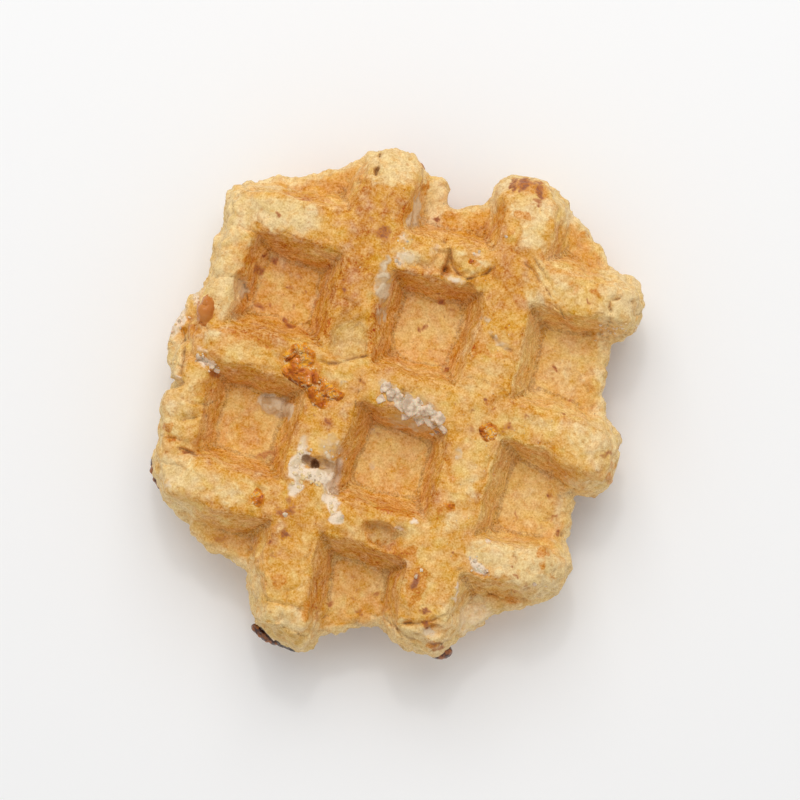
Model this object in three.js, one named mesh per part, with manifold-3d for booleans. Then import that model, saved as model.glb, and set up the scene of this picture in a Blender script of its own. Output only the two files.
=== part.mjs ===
// A Liège waffle: one piece of sweet yeast dough, baked between two iron plates with deep square pins.
// Rows and columns of ridges stand on both faces of a thin web, and leave pockets between them. The dough ran
// out before it filled the plates, so each ridge ends in a blunt, rounded nose and the web in an uneven rim.
//
// Millimetres, +Z up. The waffle lies flat on the crests of its lower ridges, at z = 0, with its grid along X
// and Y and the origin under the middle of its bounding box.
import * as THREE from "three";
import { mergeVertices } from "three/addons/utils/BufferGeometryUtils.js";
import Module from "manifold-3d";

const wasm = await Module();
wasm.setup();

// ---- Driving dimensions -------------------------------------------------------------------------------------
const THICKNESS = 26; // from the lower crests to the upper ones
const WEB = 5.4; // dough between the floors of two opposite pockets
const PITCH_X = 29.4; // from column to column
const PITCH_Y = 27.7; // from row to row
const COLUMN_X = -11.9; // the middle column's own line
const ROW_Y = 3.5; // the middle row's own line
const WALL_RUN = 3.4; // how far a pocket's sloping wall runs sideways on its way down
const CREST_ROUND = 1.1; // rounding between a crest and its walls
const BULGE = 0.7; // how far a ridge's side swells past its foot, where it shows at the rim
const NOSE_POWER = 2.6; // 2 would end a ridge in an ellipse, and more makes the nose blunter
const END_DROP = 1.8; // the dough near a ridge's end never touched the plate, and lies this much lower
const END_DROP_REACH = 13;
const BEND_REACH = 22; // how far from its end a ridge starts to bend or widen
const WAVE = 0.45; // how far the ridges wander from straight
const PRESS = 0.35; // how far the ridges would reach below the plane that the waffle stands on
const STATION = 4.2; // spacing of the sections along a ridge
const RIM_SAMPLES = 120;

const MIDDLE = THICKNESS / 2;

// Each ridge: its place on the grid, the ends of its dough, the half width of its crest, and the lengths of its
// two noses. The rest is how it differs from a straight, full one: what its crest lacks to the full height, how
// far the whole ridge is shifted, how far each end bends aside, how much wider each end is, and how far the wall
// runs on its lower and on its higher side. `phase` makes each one wander in its own way.
const ridge = (along, cell, from, to, crest, noses, differences = {}) => ({
  along,
  line: along === "y" ? COLUMN_X + cell * PITCH_X : ROW_Y + cell * PITCH_Y,
  from,
  to,
  crest,
  noses,
  lack: 0,
  shift: 0,
  bend: [0, 0],
  flare: [0, 0],
  runs: [WALL_RUN, WALL_RUN],
  phase: 1.7 * cell + (along === "y" ? 0.6 : 3.9),
  ...differences,
});

// The left column lies at the rim, where no pin shaped its outer side, and is two short ridges.
const OUTER_RUNS = [1, WALL_RUN];
const RIDGES = [
  ridge("y", -1, -2, 37, 2.5, [6, 9], { lack: 1.6, shift: 2.5, bend: [0, 1.5], runs: OUTER_RUNS }),
  ridge("y", -1, -27, 4, 3.3, [9, 6], { lack: 1.9, shift: 1.7, bend: [1, 0], runs: OUTER_RUNS }),
  ridge("y", 0, -52.5, 51, 4.9, [12, 11], { bend: [3, 0.8], flare: [-0.8, -0.6] }),
  ridge("y", 1, -46, 52.3, 4.9, [9, 9], { bend: [-0.4, -1.8] }),
  ridge("x", 1, -43.2, 43.9, 3.9, [14, 8], { bend: [-0.5, 0.6], flare: [0, -0.6] }),
  ridge("x", 0, -44, 46.9, 3.7, [7, 8], { bend: [0, -2.6], flare: [0, 1.2] }),
  ridge("x", -1, -43.9, 42.9, 3.9, [15, 8], { bend: [1.4, 1.6], flare: [0, -0.9] }),
];

// The rim of the web, counter-clockwise from the right of the upper row: one point for each bay and each corner
// of it, and one under each ridge's end.
const RIM = [
  [40.5, 30],
  [36, 38.2],
  [26.5, 46.5],
  [17, 49.5],
  [7.5, 45],
  [0.4, 42.8],
  [-0.5, 47],
  [-6, 48.3],
  [-16, 48.5],
  [-27.5, 41.8],
  [-39, 37.2],
  [-43, 27],
  [-43, 15],
  [-46.3, 9],
  [-46.8, 1.5],
  [-45.2, -3.8],
  [-42.6, -7.5],
  [-44, -15],
  [-42, -23],
  [-34.3, -32.8],
  [-29, -36.9],
  [-20.6, -38.4],
  [-15, -48],
  [-9, -50.5],
  [-1, -47.5],
  [9, -42.9],
  [18, -43.5],
  [25.3, -41.5],
  [29.5, -35.4],
  [37, -31],
  [40.5, -22],
  [40.7, -11],
  [40, -7.5],
  [44, 5],
  [40.6, 14],
  [39.8, 22.5],
];

// Hollows in the upper crests, as ellipsoids: the middle and the half sizes along x, y and z. The first three
// join into a torn steam hole, deep in its middle, and the last is a place where the dough sank back.
const HOLLOWS = [
  { at: [-11.4, -14.9, THICKNESS], half: [1.2, 1.5, 5.2] },
  { at: [-13, -14.5, THICKNESS], half: [1.3, 1.1, 2.4] },
  { at: [-9.4, -14.4, THICKNESS], half: [2.2, 1.7, 1.8] },
  { at: [5.4, -24.4, THICKNESS + 0.7], half: [5, 2.7, 1.8] },
];

// ---- Shapes --------------------------------------------------------------------------------------------------
const smooth = (t) => {
  const x = THREE.MathUtils.clamp(t, 0, 1);
  return x * x * (3 - 2 * x);
};

// A ridge's section, as [sideways, up] from the middle of the waffle, once round. Top and bottom mirror each
// other: crest, rounded corner, sloping wall, and a swollen side where the web would be.
function ridgeSection(halfCrest, halfHeight, runs) {
  const halfSection = (run) => {
    const corner = [
      [halfCrest - CREST_ROUND, halfHeight],
      [halfCrest - 0.25 * CREST_ROUND, halfHeight - 0.3 * CREST_ROUND],
      [halfCrest + 0.2 * CREST_ROUND, halfHeight - 1.2 * CREST_ROUND],
      [halfCrest + run, WEB / 2],
    ];
    const middle = [halfCrest + run + BULGE, 0];
    return [...corner, middle, ...corner.toReversed().map(([w, h]) => [w, -h])];
  };
  const mirrored = halfSection(runs[0]).toReversed().map(([w, h]) => [-w, h]);
  return [...halfSection(runs[1]), ...mirrored];
}

// Where the sections of a ridge stand: closer together over the two noses, where the shape turns.
function stationsOf({ from, to, noses }) {
  const turn = [0.015, 0.1, 0.25, 0.45, 0.7, 1];
  const start = turn.map((t) => from + t * noses[0]);
  const end = turn.map((t) => to - t * noses[1]).toReversed();
  const gap = end[0] - start.at(-1);
  const count = Math.round(gap / STATION);
  const between = Array.from({ length: count - 1 }, (_, i) => start.at(-1) + (gap * (i + 1)) / count);
  return [...start, ...between, ...end];
}

// A ridge as a closed loft: its section, swept along its line, drawn in to a nose at both ends.
function ridgeGeometry(r) {
  const rings = stationsOf(r).map((s) => {
    const end = s - r.from < r.to - s ? 0 : 1;
    const left = end ? r.to - s : s - r.from;
    const closing = (1 - Math.max(0, 1 - left / r.noses[end]) ** NOSE_POWER) ** (1 / NOSE_POWER);
    const nearEnd = smooth(1 - left / BEND_REACH);
    const drop = r.lack + END_DROP * smooth(1 - left / END_DROP_REACH);
    const wander = WAVE * (Math.sin(s / 9 + r.phase) + 0.6 * Math.sin(s / 4.7 + 2 * r.phase));
    const line = r.line + r.shift + nearEnd * r.bend[end] + wander;
    const crest = r.crest + nearEnd * r.flare[end] + 0.7 * WAVE * Math.sin(s / 6.1 + 3 * r.phase);
    const rise = 0.5 * WAVE * Math.sin(s / 7.3 + 5 * r.phase);
    return ridgeSection(crest, MIDDLE + PRESS, r.runs).map(([w, h]) => {
      const side = line + w * closing;
      const lowered = h > 0 ? h - (PRESS + drop - rise) * (h / MIDDLE) : h + drop * (-h / MIDDLE);
      const up = MIDDLE + lowered * closing;
      return r.along === "x" ? [s, side, up] : [side, s, up];
    });
  });
  // The section turns clockwise about X, and the other way about Y.
  return loft(rings.flat(), rings[0].length, rings.length, r.along === "x");
}

// Joins rings of points into a closed tube with a flat cap at each end.
function loft(points, around, count, flipped) {
  const faces = [];
  const face = (a, b, c) => faces.push(...(flipped ? [a, c, b] : [a, b, c]));
  for (let i = 0; i < count - 1; i++) {
    for (let j = 0; j < around; j++) {
      const k = (j + 1) % around;
      const [a, b] = [i * around + j, i * around + k];
      face(a, b, b + around);
      face(a, b + around, a + around);
    }
  }
  const last = (count - 1) * around;
  for (let j = 1; j < around - 1; j++) {
    face(0, j + 1, j);
    face(last, last + j, last + j + 1);
  }
  const geometry = new THREE.BufferGeometry().setFromPoints(points.map((p) => new THREE.Vector3(...p)));
  return geometry.setIndex(faces);
}

// The web: the rim's outline, thickened, with a rounded edge.
function webGeometry() {
  const curve = new THREE.CatmullRomCurve3(
    RIM.map(([x, y]) => new THREE.Vector3(x, y, 0)),
    true,
    "centripetal",
  );
  const outline = curve.getSpacedPoints(RIM_SAMPLES).slice(0, -1);
  const edge = 0.42 * WEB;
  return new THREE.ExtrudeGeometry(new THREE.Shape(outline.map((p) => new THREE.Vector2(p.x, p.y))), {
    depth: WEB - 2 * edge,
    bevelThickness: edge,
    bevelSize: edge,
    bevelOffset: -edge,
    bevelSegments: 3,
  }).translate(0, 0, MIDDLE - WEB / 2 + edge);
}

function hollowGeometry({ at, half }) {
  return new THREE.SphereGeometry(1, 14, 9).scale(...half).translate(...at);
}

// Everything below the plane that the waffle stands on.
function belowGeometry() {
  const size = 4 * THICKNESS;
  return new THREE.BoxGeometry(2 * size, 2 * size, size).translate(0, 0, -size / 2);
}

// ---- Joining -------------------------------------------------------------------------------------------------
function toSolid(geometry) {
  geometry.deleteAttribute("normal");
  geometry.deleteAttribute("uv");
  const merged = mergeVertices(geometry, 1e-3);
  return new wasm.Manifold(
    new wasm.Mesh({
      numProp: 3,
      vertProperties: new Float32Array(merged.attributes.position.array),
      triVerts: new Uint32Array(merged.index.array),
    }),
  );
}

function toGeometry(solid) {
  const mesh = solid.getMesh();
  const geometry = new THREE.BufferGeometry();
  geometry.setAttribute("position", new THREE.BufferAttribute(mesh.vertProperties, mesh.numProp));
  geometry.setIndex(new THREE.BufferAttribute(mesh.triVerts, 1));
  geometry.computeVertexNormals();
  return geometry;
}

const grid = RIDGES.reduce((whole, r) => whole.add(toSolid(ridgeGeometry(r))), toSolid(webGeometry()));
const cuts = [...HOLLOWS.map(hollowGeometry), belowGeometry()];
const dough = cuts.reduce((whole, cut) => whole.subtract(toSolid(cut)), grid);

// The wandering ridges leave the bounding box a fraction of a millimetre off the origin.
const baked = toGeometry(dough);
baked.computeBoundingBox();
const middle = baked.boundingBox.getCenter(new THREE.Vector3());
baked.translate(-middle.x, -middle.y, 0);

const waffle = new THREE.Mesh(
  baked,
  new THREE.MeshStandardMaterial({ color: 0xe3b56f, roughness: 0.8, metalness: 0 }),
);
waffle.name = "waffle";

const group = new THREE.Group();
group.add(waffle);

export default group;
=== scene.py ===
# %% [markdown]
# # A Liège waffle
#
# A Liège waffle is one lump of sweet yeast dough, pressed and baked between two iron plates with deep
# square pins. This lesson starts from a plain solid of the waffle at its real size, and gives it the
# crust, the cracks, the melted sugar and the light that make it look good to eat. Lengths in the lists
# are in millimetres, in the solid's own frame: +X along the rows of pockets, +Y along the columns, and +Z
# up.

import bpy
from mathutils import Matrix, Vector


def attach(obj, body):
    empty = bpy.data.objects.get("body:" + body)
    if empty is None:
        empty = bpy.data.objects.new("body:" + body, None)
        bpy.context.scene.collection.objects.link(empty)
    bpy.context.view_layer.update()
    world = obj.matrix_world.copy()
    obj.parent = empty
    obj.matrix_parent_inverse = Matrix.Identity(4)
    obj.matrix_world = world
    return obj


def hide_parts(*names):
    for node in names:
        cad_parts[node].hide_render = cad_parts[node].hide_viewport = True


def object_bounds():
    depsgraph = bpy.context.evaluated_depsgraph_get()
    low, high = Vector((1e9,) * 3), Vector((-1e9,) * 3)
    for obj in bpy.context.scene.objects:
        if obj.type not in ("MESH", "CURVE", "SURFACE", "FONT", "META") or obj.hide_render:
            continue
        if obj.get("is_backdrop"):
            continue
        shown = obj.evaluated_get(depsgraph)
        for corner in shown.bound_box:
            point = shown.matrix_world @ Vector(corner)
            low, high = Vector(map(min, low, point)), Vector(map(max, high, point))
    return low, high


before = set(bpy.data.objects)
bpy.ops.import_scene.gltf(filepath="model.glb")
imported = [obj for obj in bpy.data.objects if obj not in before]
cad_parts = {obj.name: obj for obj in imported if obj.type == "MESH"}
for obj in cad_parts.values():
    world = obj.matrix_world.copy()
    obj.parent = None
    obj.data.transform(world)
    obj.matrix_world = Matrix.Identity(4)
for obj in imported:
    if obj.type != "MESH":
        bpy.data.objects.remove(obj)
solid_low, solid_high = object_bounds()
print("the solid measures", [round(side, 4) for side in solid_high - solid_low], "m")

# %% Libraries, and the lines of the grid
import math
import random

import bmesh
import bpy
import numpy as np
from mathutils import Matrix, Vector, noise
from mathutils.bvhtree import BVHTree
from mathutils.kdtree import KDTree

MM = 0.001
MIDDLE = 13  # height of the middle of the web, which is half the waffle's thickness
FLOOR_RISE = 2.7  # from there to the floor of a pocket
CREST_RISE = 13  # and to the crests
POCKET_X = 2.8  # the middle column of pockets, about which the lower face mirrors the upper one
SEED = 11
random.seed(SEED)

# %% [markdown]
# ## The dough
#
# The solid's triangles are long and thin, so they can't carry a crust's detail. A voxel remesh gives an
# even skin of small faces all over, and a light smoothing takes its steps away. The lower face is seen
# less, so a Decimate modifier with a vertex group spends most of the faces on the upper one.

# %% Remeshing a copy of the solid
VOXEL = 0.5 * MM
FACE_LIMIT = 170000
MERGE = 1e-6


def new_piece(name, mesh):
    piece = bpy.data.objects.new(name, mesh)
    bpy.context.scene.collection.objects.link(piece)
    return piece


def work_in_modifiers(piece):
    """Replaces the piece's mesh with what its modifiers make of it."""
    graph = bpy.context.evaluated_depsgraph_get()
    mesh = bpy.data.meshes.new_from_object(piece.evaluated_get(graph))
    piece.modifiers.clear()
    piece.data = mesh


def add_modifier(piece, kind, **settings):
    modifier = piece.modifiers.new(kind.lower(), kind)
    for name, value in settings.items():
        setattr(modifier, name, value)
    return modifier


def count_triangles(mesh):
    return sum(len(face.vertices) - 2 for face in mesh.polygons)


shell = bmesh.new()
shell.from_mesh(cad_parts["waffle"].data)
bmesh.ops.remove_doubles(shell, verts=shell.verts, dist=MERGE)
crust_mesh = bpy.data.meshes.new("waffle_crust")
shell.to_mesh(crust_mesh)
shell.free()

crust = new_piece("waffle_crust", crust_mesh)
add_modifier(crust, "REMESH", mode="VOXEL", voxel_size=VOXEL, adaptivity=0)
add_modifier(crust, "SMOOTH", factor=0.5, iterations=4)
work_in_modifiers(crust)
print("remeshed:", len(crust.data.vertices), "points")

# %% Thinning the lower face
thin = crust.vertex_groups.new(name="thin")
lower_points = [v.index for v in crust.data.vertices if v.co.z < (MIDDLE - FLOOR_RISE / 2) * MM]
thin.add(lower_points, 1.0, "REPLACE")
before = count_triangles(crust.data)
add_modifier(crust, "DECIMATE", ratio=FACE_LIMIT / before, vertex_group="thin", vertex_group_factor=10)
work_in_modifiers(crust)
crust.vertex_groups.clear()
crust_mesh = crust.data
print("thinned from", before, "to", count_triangles(crust_mesh), "triangles")

# %% [markdown]
# ## Sculpting by fields
#
# A sculptor's brush moves the points near it. Here the same brushes are functions: each gives one number
# for every point, such as how deep inside an ellipse it lies or how near a crack it is, and the points
# then move along their normals by a sum of such fields. It repeats exactly, and a lump can be moved by
# changing two numbers.

# %% Arrays of points and normals


def read_points(mesh):
    flat = np.empty(3 * len(mesh.vertices))
    mesh.vertices.foreach_get("co", flat)
    return flat.reshape(-1, 3) / MM


def read_normals(mesh):
    flat = np.empty(3 * len(mesh.vertices))
    mesh.vertex_normals.foreach_get("vector", flat)
    return flat.reshape(-1, 3)


def write_points(mesh, points):
    mesh.vertices.foreach_set("co", (points * MM).ravel())
    mesh.update()


def shade_smooth(mesh):
    for face in mesh.polygons:
        face.use_smooth = True


# %% Brushes


def smooth_step(value, start, end):
    t = np.clip((value - start) / (end - start), 0, 1)
    return t * t * (3 - 2 * t)


def wobble(points, size, seed, octaves=1, stretch=(1, 1, 1)):
    """Smooth noise between about -1 and 1, with lumps about `size` across."""
    shifted = points / (size * np.array(stretch)) + seed * np.array([13.7, 7.3, 5.1])
    if octaves == 1:
        return np.array([noise.noise(place) for place in shifted.tolist()])
    return np.array([noise.fractal(place, 0.9, 2.1, octaves) for place in shifted.tolist()])


def billow(points, size, seed, octaves=1):
    """Rounded lumps about `size` across with sharp valleys between them, from about -0.25 up."""
    return np.abs(wobble(points, size, seed, octaves)) - 0.25


def ellipse(x, y, centre_x, centre_y, across, along, turn=0, ragged=0, start=0.45, end=1.15):
    """1 inside an ellipse on the plan, and 0 outside it, with a soft edge."""
    cos, sin = math.cos(math.radians(turn)), math.sin(math.radians(turn))
    dx, dy = x - centre_x, y - centre_y
    reach = np.hypot((cos * dx + sin * dy) / across, (cos * dy - sin * dx) / along)
    return 1 - smooth_step(reach + ragged, start, end)


def beside(x, y, route):
    """The distance from a line through the route's points, and its side: 1 on the left, -1 on the right."""
    nearest = np.full(len(x), np.inf)
    side = np.zeros(len(x))
    for (x0, y0), (x1, y1) in zip(route, route[1:]):
        run_x, run_y = x1 - x0, y1 - y0
        t = np.clip(((x - x0) * run_x + (y - y0) * run_y) / (run_x**2 + run_y**2), 0, 1)
        off_x, off_y = x - x0 - t * run_x, y - y0 - t * run_y
        distance = np.hypot(off_x, off_y)
        side = np.where(distance < nearest, np.sign(run_x * off_y - run_y * off_x), side)
        nearest = np.minimum(nearest, distance)
    return nearest, side


# %% [markdown]
# ## Cracks, folds and slits
#
# Dough that rises against an iron tears and folds where it stops. Each crack is a short route on the
# plan. The faces beside the routes are cut into four first, so that a slit half a millimetre wide has
# points to follow it. Most cracks are folds: one lip overlaps the other, so it stands a little higher.

# %% The routes of the cracks
# Each is its route, half width, depth and how far its left lip stands up (or, below 0, its right one).
CRACKS = [
    # torn lumps of the upper row, between the two columns
    ([(1.9, 35.0), (3.0, 33.4), (3.6, 31.6), (3.4, 29.8), (3.0, 28.2)], 1.0, 1.7, -0.5),
    ([(3.6, 34.2), (3.9, 32.4), (4.7, 30.5), (6.5, 29.1), (8.6, 28.9), (11.0, 30.1), (12.2, 31.8)],
     0.65, 1.2, 0.6),
    ([(6.2, 30.9), (7.4, 30.2)], 0.5, 0.5, 0.3),
    ([(12.9, 33.2), (13.2, 30.6), (12.6, 28.4)], 0.45, 0.4, 0.2),
    # the step below the sunk crest
    ([(-15.2, 5.4), (-13.4, 5.5), (-11.4, 6.5), (-9.0, 7.9), (-7.0, 8.8)], 1.0, 0.9, 0.5),
    # folds of the upper row's right arm
    ([(20.3, 36.2), (22.4, 34.0), (25.0, 31.6), (27.6, 28.7), (30.0, 27.0)], 0.5, 0.7, 0.5),
    ([(18.5, 34.4), (20.6, 33.6), (22.6, 31.4), (24.6, 30.5), (27.0, 28.0), (29.0, 26.4)], 0.55, 0.9, -0.5),
    ([(22.2, 31.5), (23.6, 31.1)], 0.8, 0.9, 0.0),
    ([(27.5, 35.8), (30.5, 35.2), (33.0, 34.5), (36.0, 34.2)], 0.35, 0.3, 0.2),
    # cracks of the right lobe
    ([(38.7, 32.6), (37.2, 32.0), (37.0, 31.0), (37.7, 29.8), (37.8, 28.6)], 0.5, 1.5, 0.3),
    ([(41.6, 30.2), (42.6, 30.5), (43.4, 31.4)], 0.45, 0.9, -0.3),
    ([(35.2, 28.5), (36.0, 28.9)], 0.45, 1.0, 0.0),
    ([(37.5, 28.3), (38.8, 27.8)], 0.6, 0.8, 0.2),
    ([(36.5, 25.8), (39.0, 26.4), (41.5, 26.9)], 0.6, 0.7, 0.3),
    # the slit in the middle column's upper end
    ([(-15.4, 49.0), (-14.9, 47.3), (-14.6, 45.6), (-14.6, 44.4)], 0.55, 1.5, 0.2),
    ([(-14.9, 45.2), (-14.6, 44.3)], 0.8, 1.6, 0.0),
    # the short groove and the seam on the right column
    ([(15.9, 18.8), (17.8, 17.9), (20.4, 17.0)], 0.85, 0.9, 0.3),
    ([(13.6, 9.8), (16.5, 10.1), (19.5, 9.3), (21.8, 8.9)], 0.4, 0.5, 0.35),
    ([(14.6, 24.6), (15.4, 21.8), (15.9, 19.6)], 0.6, 0.4, -0.3),
    ([(22.6, 19.0), (21.6, 17.4)], 0.4, 0.4, 0.2),
    # the slit in the sugar of the middle row, and its left-hand edge
    ([(1.9, 3.9), (2.1, 2.9), (2.5, 1.8)], 0.4, 1.1, 0.0),
    ([(-7.0, 5.2), (-6.9, 2.6), (-6.4, -0.4), (-6.6, -2.4)], 0.6, 0.7, 0.5),
    # folds of the right column's lower end
    ([(14.0, -40.5), (16.5, -40.0), (18.7, -38.9), (21.4, -37.1)], 0.7, 1.3, 0.5),
    ([(10.5, -38.5), (12.0, -41.4), (15.4, -43.2), (20.5, -43.2), (23.6, -41.6)], 0.7, 0.8, 0.5),
    ([(8.2, -41.2), (10.4, -41.0), (12.6, -42.2), (14.2, -43.4)], 0.6, 0.7, -0.4),
    # wrinkles of the middle column's lower end
    ([(-16.9, -43.4), (-13.0, -43.5), (-9.5, -43.1), (-5.8, -43.3)], 0.5, 0.45, 0.3),
    ([(-9.9, -39.0), (-9.8, -43.0), (-9.7, -46.0), (-10.9, -48.0)], 0.5, 0.5, 0.3),
    ([(-15.6, -47.6), (-10.0, -47.3), (-5.0, -48.4)], 0.7, 0.5, -0.4),
    # the short slot and wrinkles of the left lobes
    ([(-38.2, -18.7), (-36.4, -18.9), (-34.6, -19.1)], 0.55, 1.3, 0.2),
    ([(-44.0, -17.0), (-41.0, -17.2), (-38.6, -16.9)], 0.5, 0.7, 0.3),
    ([(-40.2, -9.1), (-37.8, -9.5), (-35.6, -9.0), (-34.2, -7.6)], 0.6, 0.9, -0.6),
    ([(-38.7, -13.0), (-36.9, -12.0), (-35.2, -11.0)], 0.7, 0.8, 0.3),
    ([(-41.0, -22.2), (-37.5, -22.0), (-33.0, -22.9)], 0.5, 0.4, 0.3),
    ([(-43.6, -21.0), (-41.5, -24.0), (-39.0, -26.4)], 0.6, 0.5, 0.3),
    ([(-38.5, 27.3), (-36.0, 26.9), (-33.5, 26.6)], 0.5, 0.5, 0.3),
    ([(-37.0, 17.2), (-34.9, 17.0), (-33.9, 15.2), (-33.4, 13.2)], 0.6, 0.9, 0.5),
    ([(-41.0, 33.0), (-37.5, 35.4), (-34.0, 36.6)], 0.6, 0.4, 0.3),
    # where the thin flash at the left joins the lobes
    ([(-44.4, 4.6), (-43.2, 2.4), (-42.2, -1.5), (-41.9, -4.8)], 0.7, 0.9, 0.3),
    ([(-41.8, 6.0), (-40.4, 6.9), (-39.2, 5.6)], 0.5, 0.6, 0.4),
    # right-hand rim and lower row
    ([(38.4, -13.2), (39.2, -14.4), (39.6, -15.6)], 0.7, 1.1, 0.3),
    ([(31.5, -21.9), (32.3, -23.0), (32.4, -24.4)], 0.45, 0.6, 0.2),
    ([(27.2, -25.0), (27.5, -26.4), (26.7, -27.8)], 0.5, 0.8, 0.3),
    ([(6.6, -22.2), (9.0, -23.5), (6.4, -26.0), (5.0, -27.4)], 0.8, 0.5, -0.3),
    ([(25.5, -29.6), (29.0, -30.6), (33.5, -31.2)], 0.6, 0.5, -0.3),
]

# %% Cutting the faces near a crack into four
REACH = 0.2  # how far past a crack's own width the finer faces go


def refine(mesh, routes, reach):
    points = read_points(mesh)
    x, y, z = points.T
    near = np.zeros(len(points), bool)
    for route, half_width, _depth, _lip in routes:
        near |= beside(x, y, route)[0] < half_width + reach
    near &= z > MIDDLE
    work = bmesh.new()
    work.from_mesh(mesh)
    edges = [e for e in work.edges if near[e.verts[0].index] and near[e.verts[1].index]]
    bmesh.ops.subdivide_edges(work, edges=edges, cuts=1, use_grid_fill=True)
    bmesh.ops.triangulate(work, faces=[f for f in work.faces if len(f.verts) > 4])
    work.to_mesh(mesh)
    work.free()
    return len(edges)


print("edges cut:", refine(crust_mesh, CRACKS, REACH))
print("now", count_triangles(crust_mesh), "triangles")

# %% Who neighbours whom
edge_ends = np.empty(2 * len(crust_mesh.edges), int)
crust_mesh.edges.foreach_get("vertices", edge_ends)
edge_ends = edge_ends.reshape(-1, 2)
neighbours = np.bincount(edge_ends.ravel(), minlength=len(crust_mesh.vertices))


def spread(values, rounds):
    """Averages a value with its neighbours' again and again."""
    for _ in range(rounds):
        total = np.bincount(edge_ends[:, 0], values[edge_ends[:, 1]], len(values))
        total += np.bincount(edge_ends[:, 1], values[edge_ends[:, 0]], len(values))
        values = (values + total / neighbours) / 2
    return values


def hollowness(points, normals, rounds):
    """How far a point sinks below its neighbourhood, in millimetres. Ridges and edges are below 0."""
    relaxed = np.stack([spread(column, rounds) for column in points.T], axis=1)
    return ((relaxed - points) * normals).sum(axis=1)


# %% Where each point lies
points = read_points(crust_mesh)
normals = read_normals(crust_mesh)
x, y, z = points.T
upper = smooth_step(z, MIDDLE - 1, MIDDLE + 1)
rise = np.abs(z - MIDDLE)
steep = 1 - np.abs(normals[:, 2])
grid_hollow = hollowness(points, normals, 12)
print(
    "the grid's creases are", round(grid_hollow.max(), 2), "mm deep, its edges", round(-grid_hollow.min(), 2)
)

# %% How far each point lies in from the outline
# The waffle is widest at the middle of its web, so a cut there gives its outline.
cut = bmesh.new()
cut.from_mesh(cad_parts["waffle"].data)
sliced = bmesh.ops.bisect_plane(
    cut,
    geom=cut.verts[:] + cut.edges[:] + cut.faces[:],
    plane_co=(0, 0, MIDDLE * MM),
    plane_no=(0, 0, 1),
)
outline_edges = [e for e in sliced["geom_cut"] if isinstance(e, bmesh.types.BMEdge)]
outline = []
for edge in outline_edges:
    start, end = (v.co / MM for v in edge.verts)
    steps = max(1, round((end - start).length))
    outline += [start.lerp(end, (i + 0.5) / steps) for i in range(steps)]
cut.free()
tree = KDTree(len(outline))
for i, place in enumerate(outline):
    tree.insert((place.x, place.y, 0), i)
tree.balance()
inset = np.array([tree.find((px, py, 0))[2] for px, py in zip(x.tolist(), y.tolist())])
print(len(outline), "places on the outline; the deepest point lies", round(inset.max(), 1), "mm in from it")

# %% Walls, crests and free dough
free = 1 - smooth_step(inset, 3.5, 9.0)  # no iron touched it
crest = smooth_step(rise, CREST_RISE - 3.0, CREST_RISE - 1.2) * (1 - smooth_step(steep, 0.2, 0.5))
walls = smooth_step(steep, 0.22, 0.5) * smooth_step(inset, 2.5, 6.0)
faces_x = normals[:, 0] ** 2 / (normals[:, 0] ** 2 + normals[:, 1] ** 2 + 1e-6)

# %% [markdown]
# ## Lumps, dimples and a rough rim
#
# The plates pressed the crests, walls and floors smooth. What ran past them rose freely: the ends of the
# ridges are domed, lumpy and cracked, and the thin rim is ragged. So the noise is strong near the outline
# and weak inside. Billows, the absolute value of a noise, give the rounded lumps and sharp valleys of
# risen dough.

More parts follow.
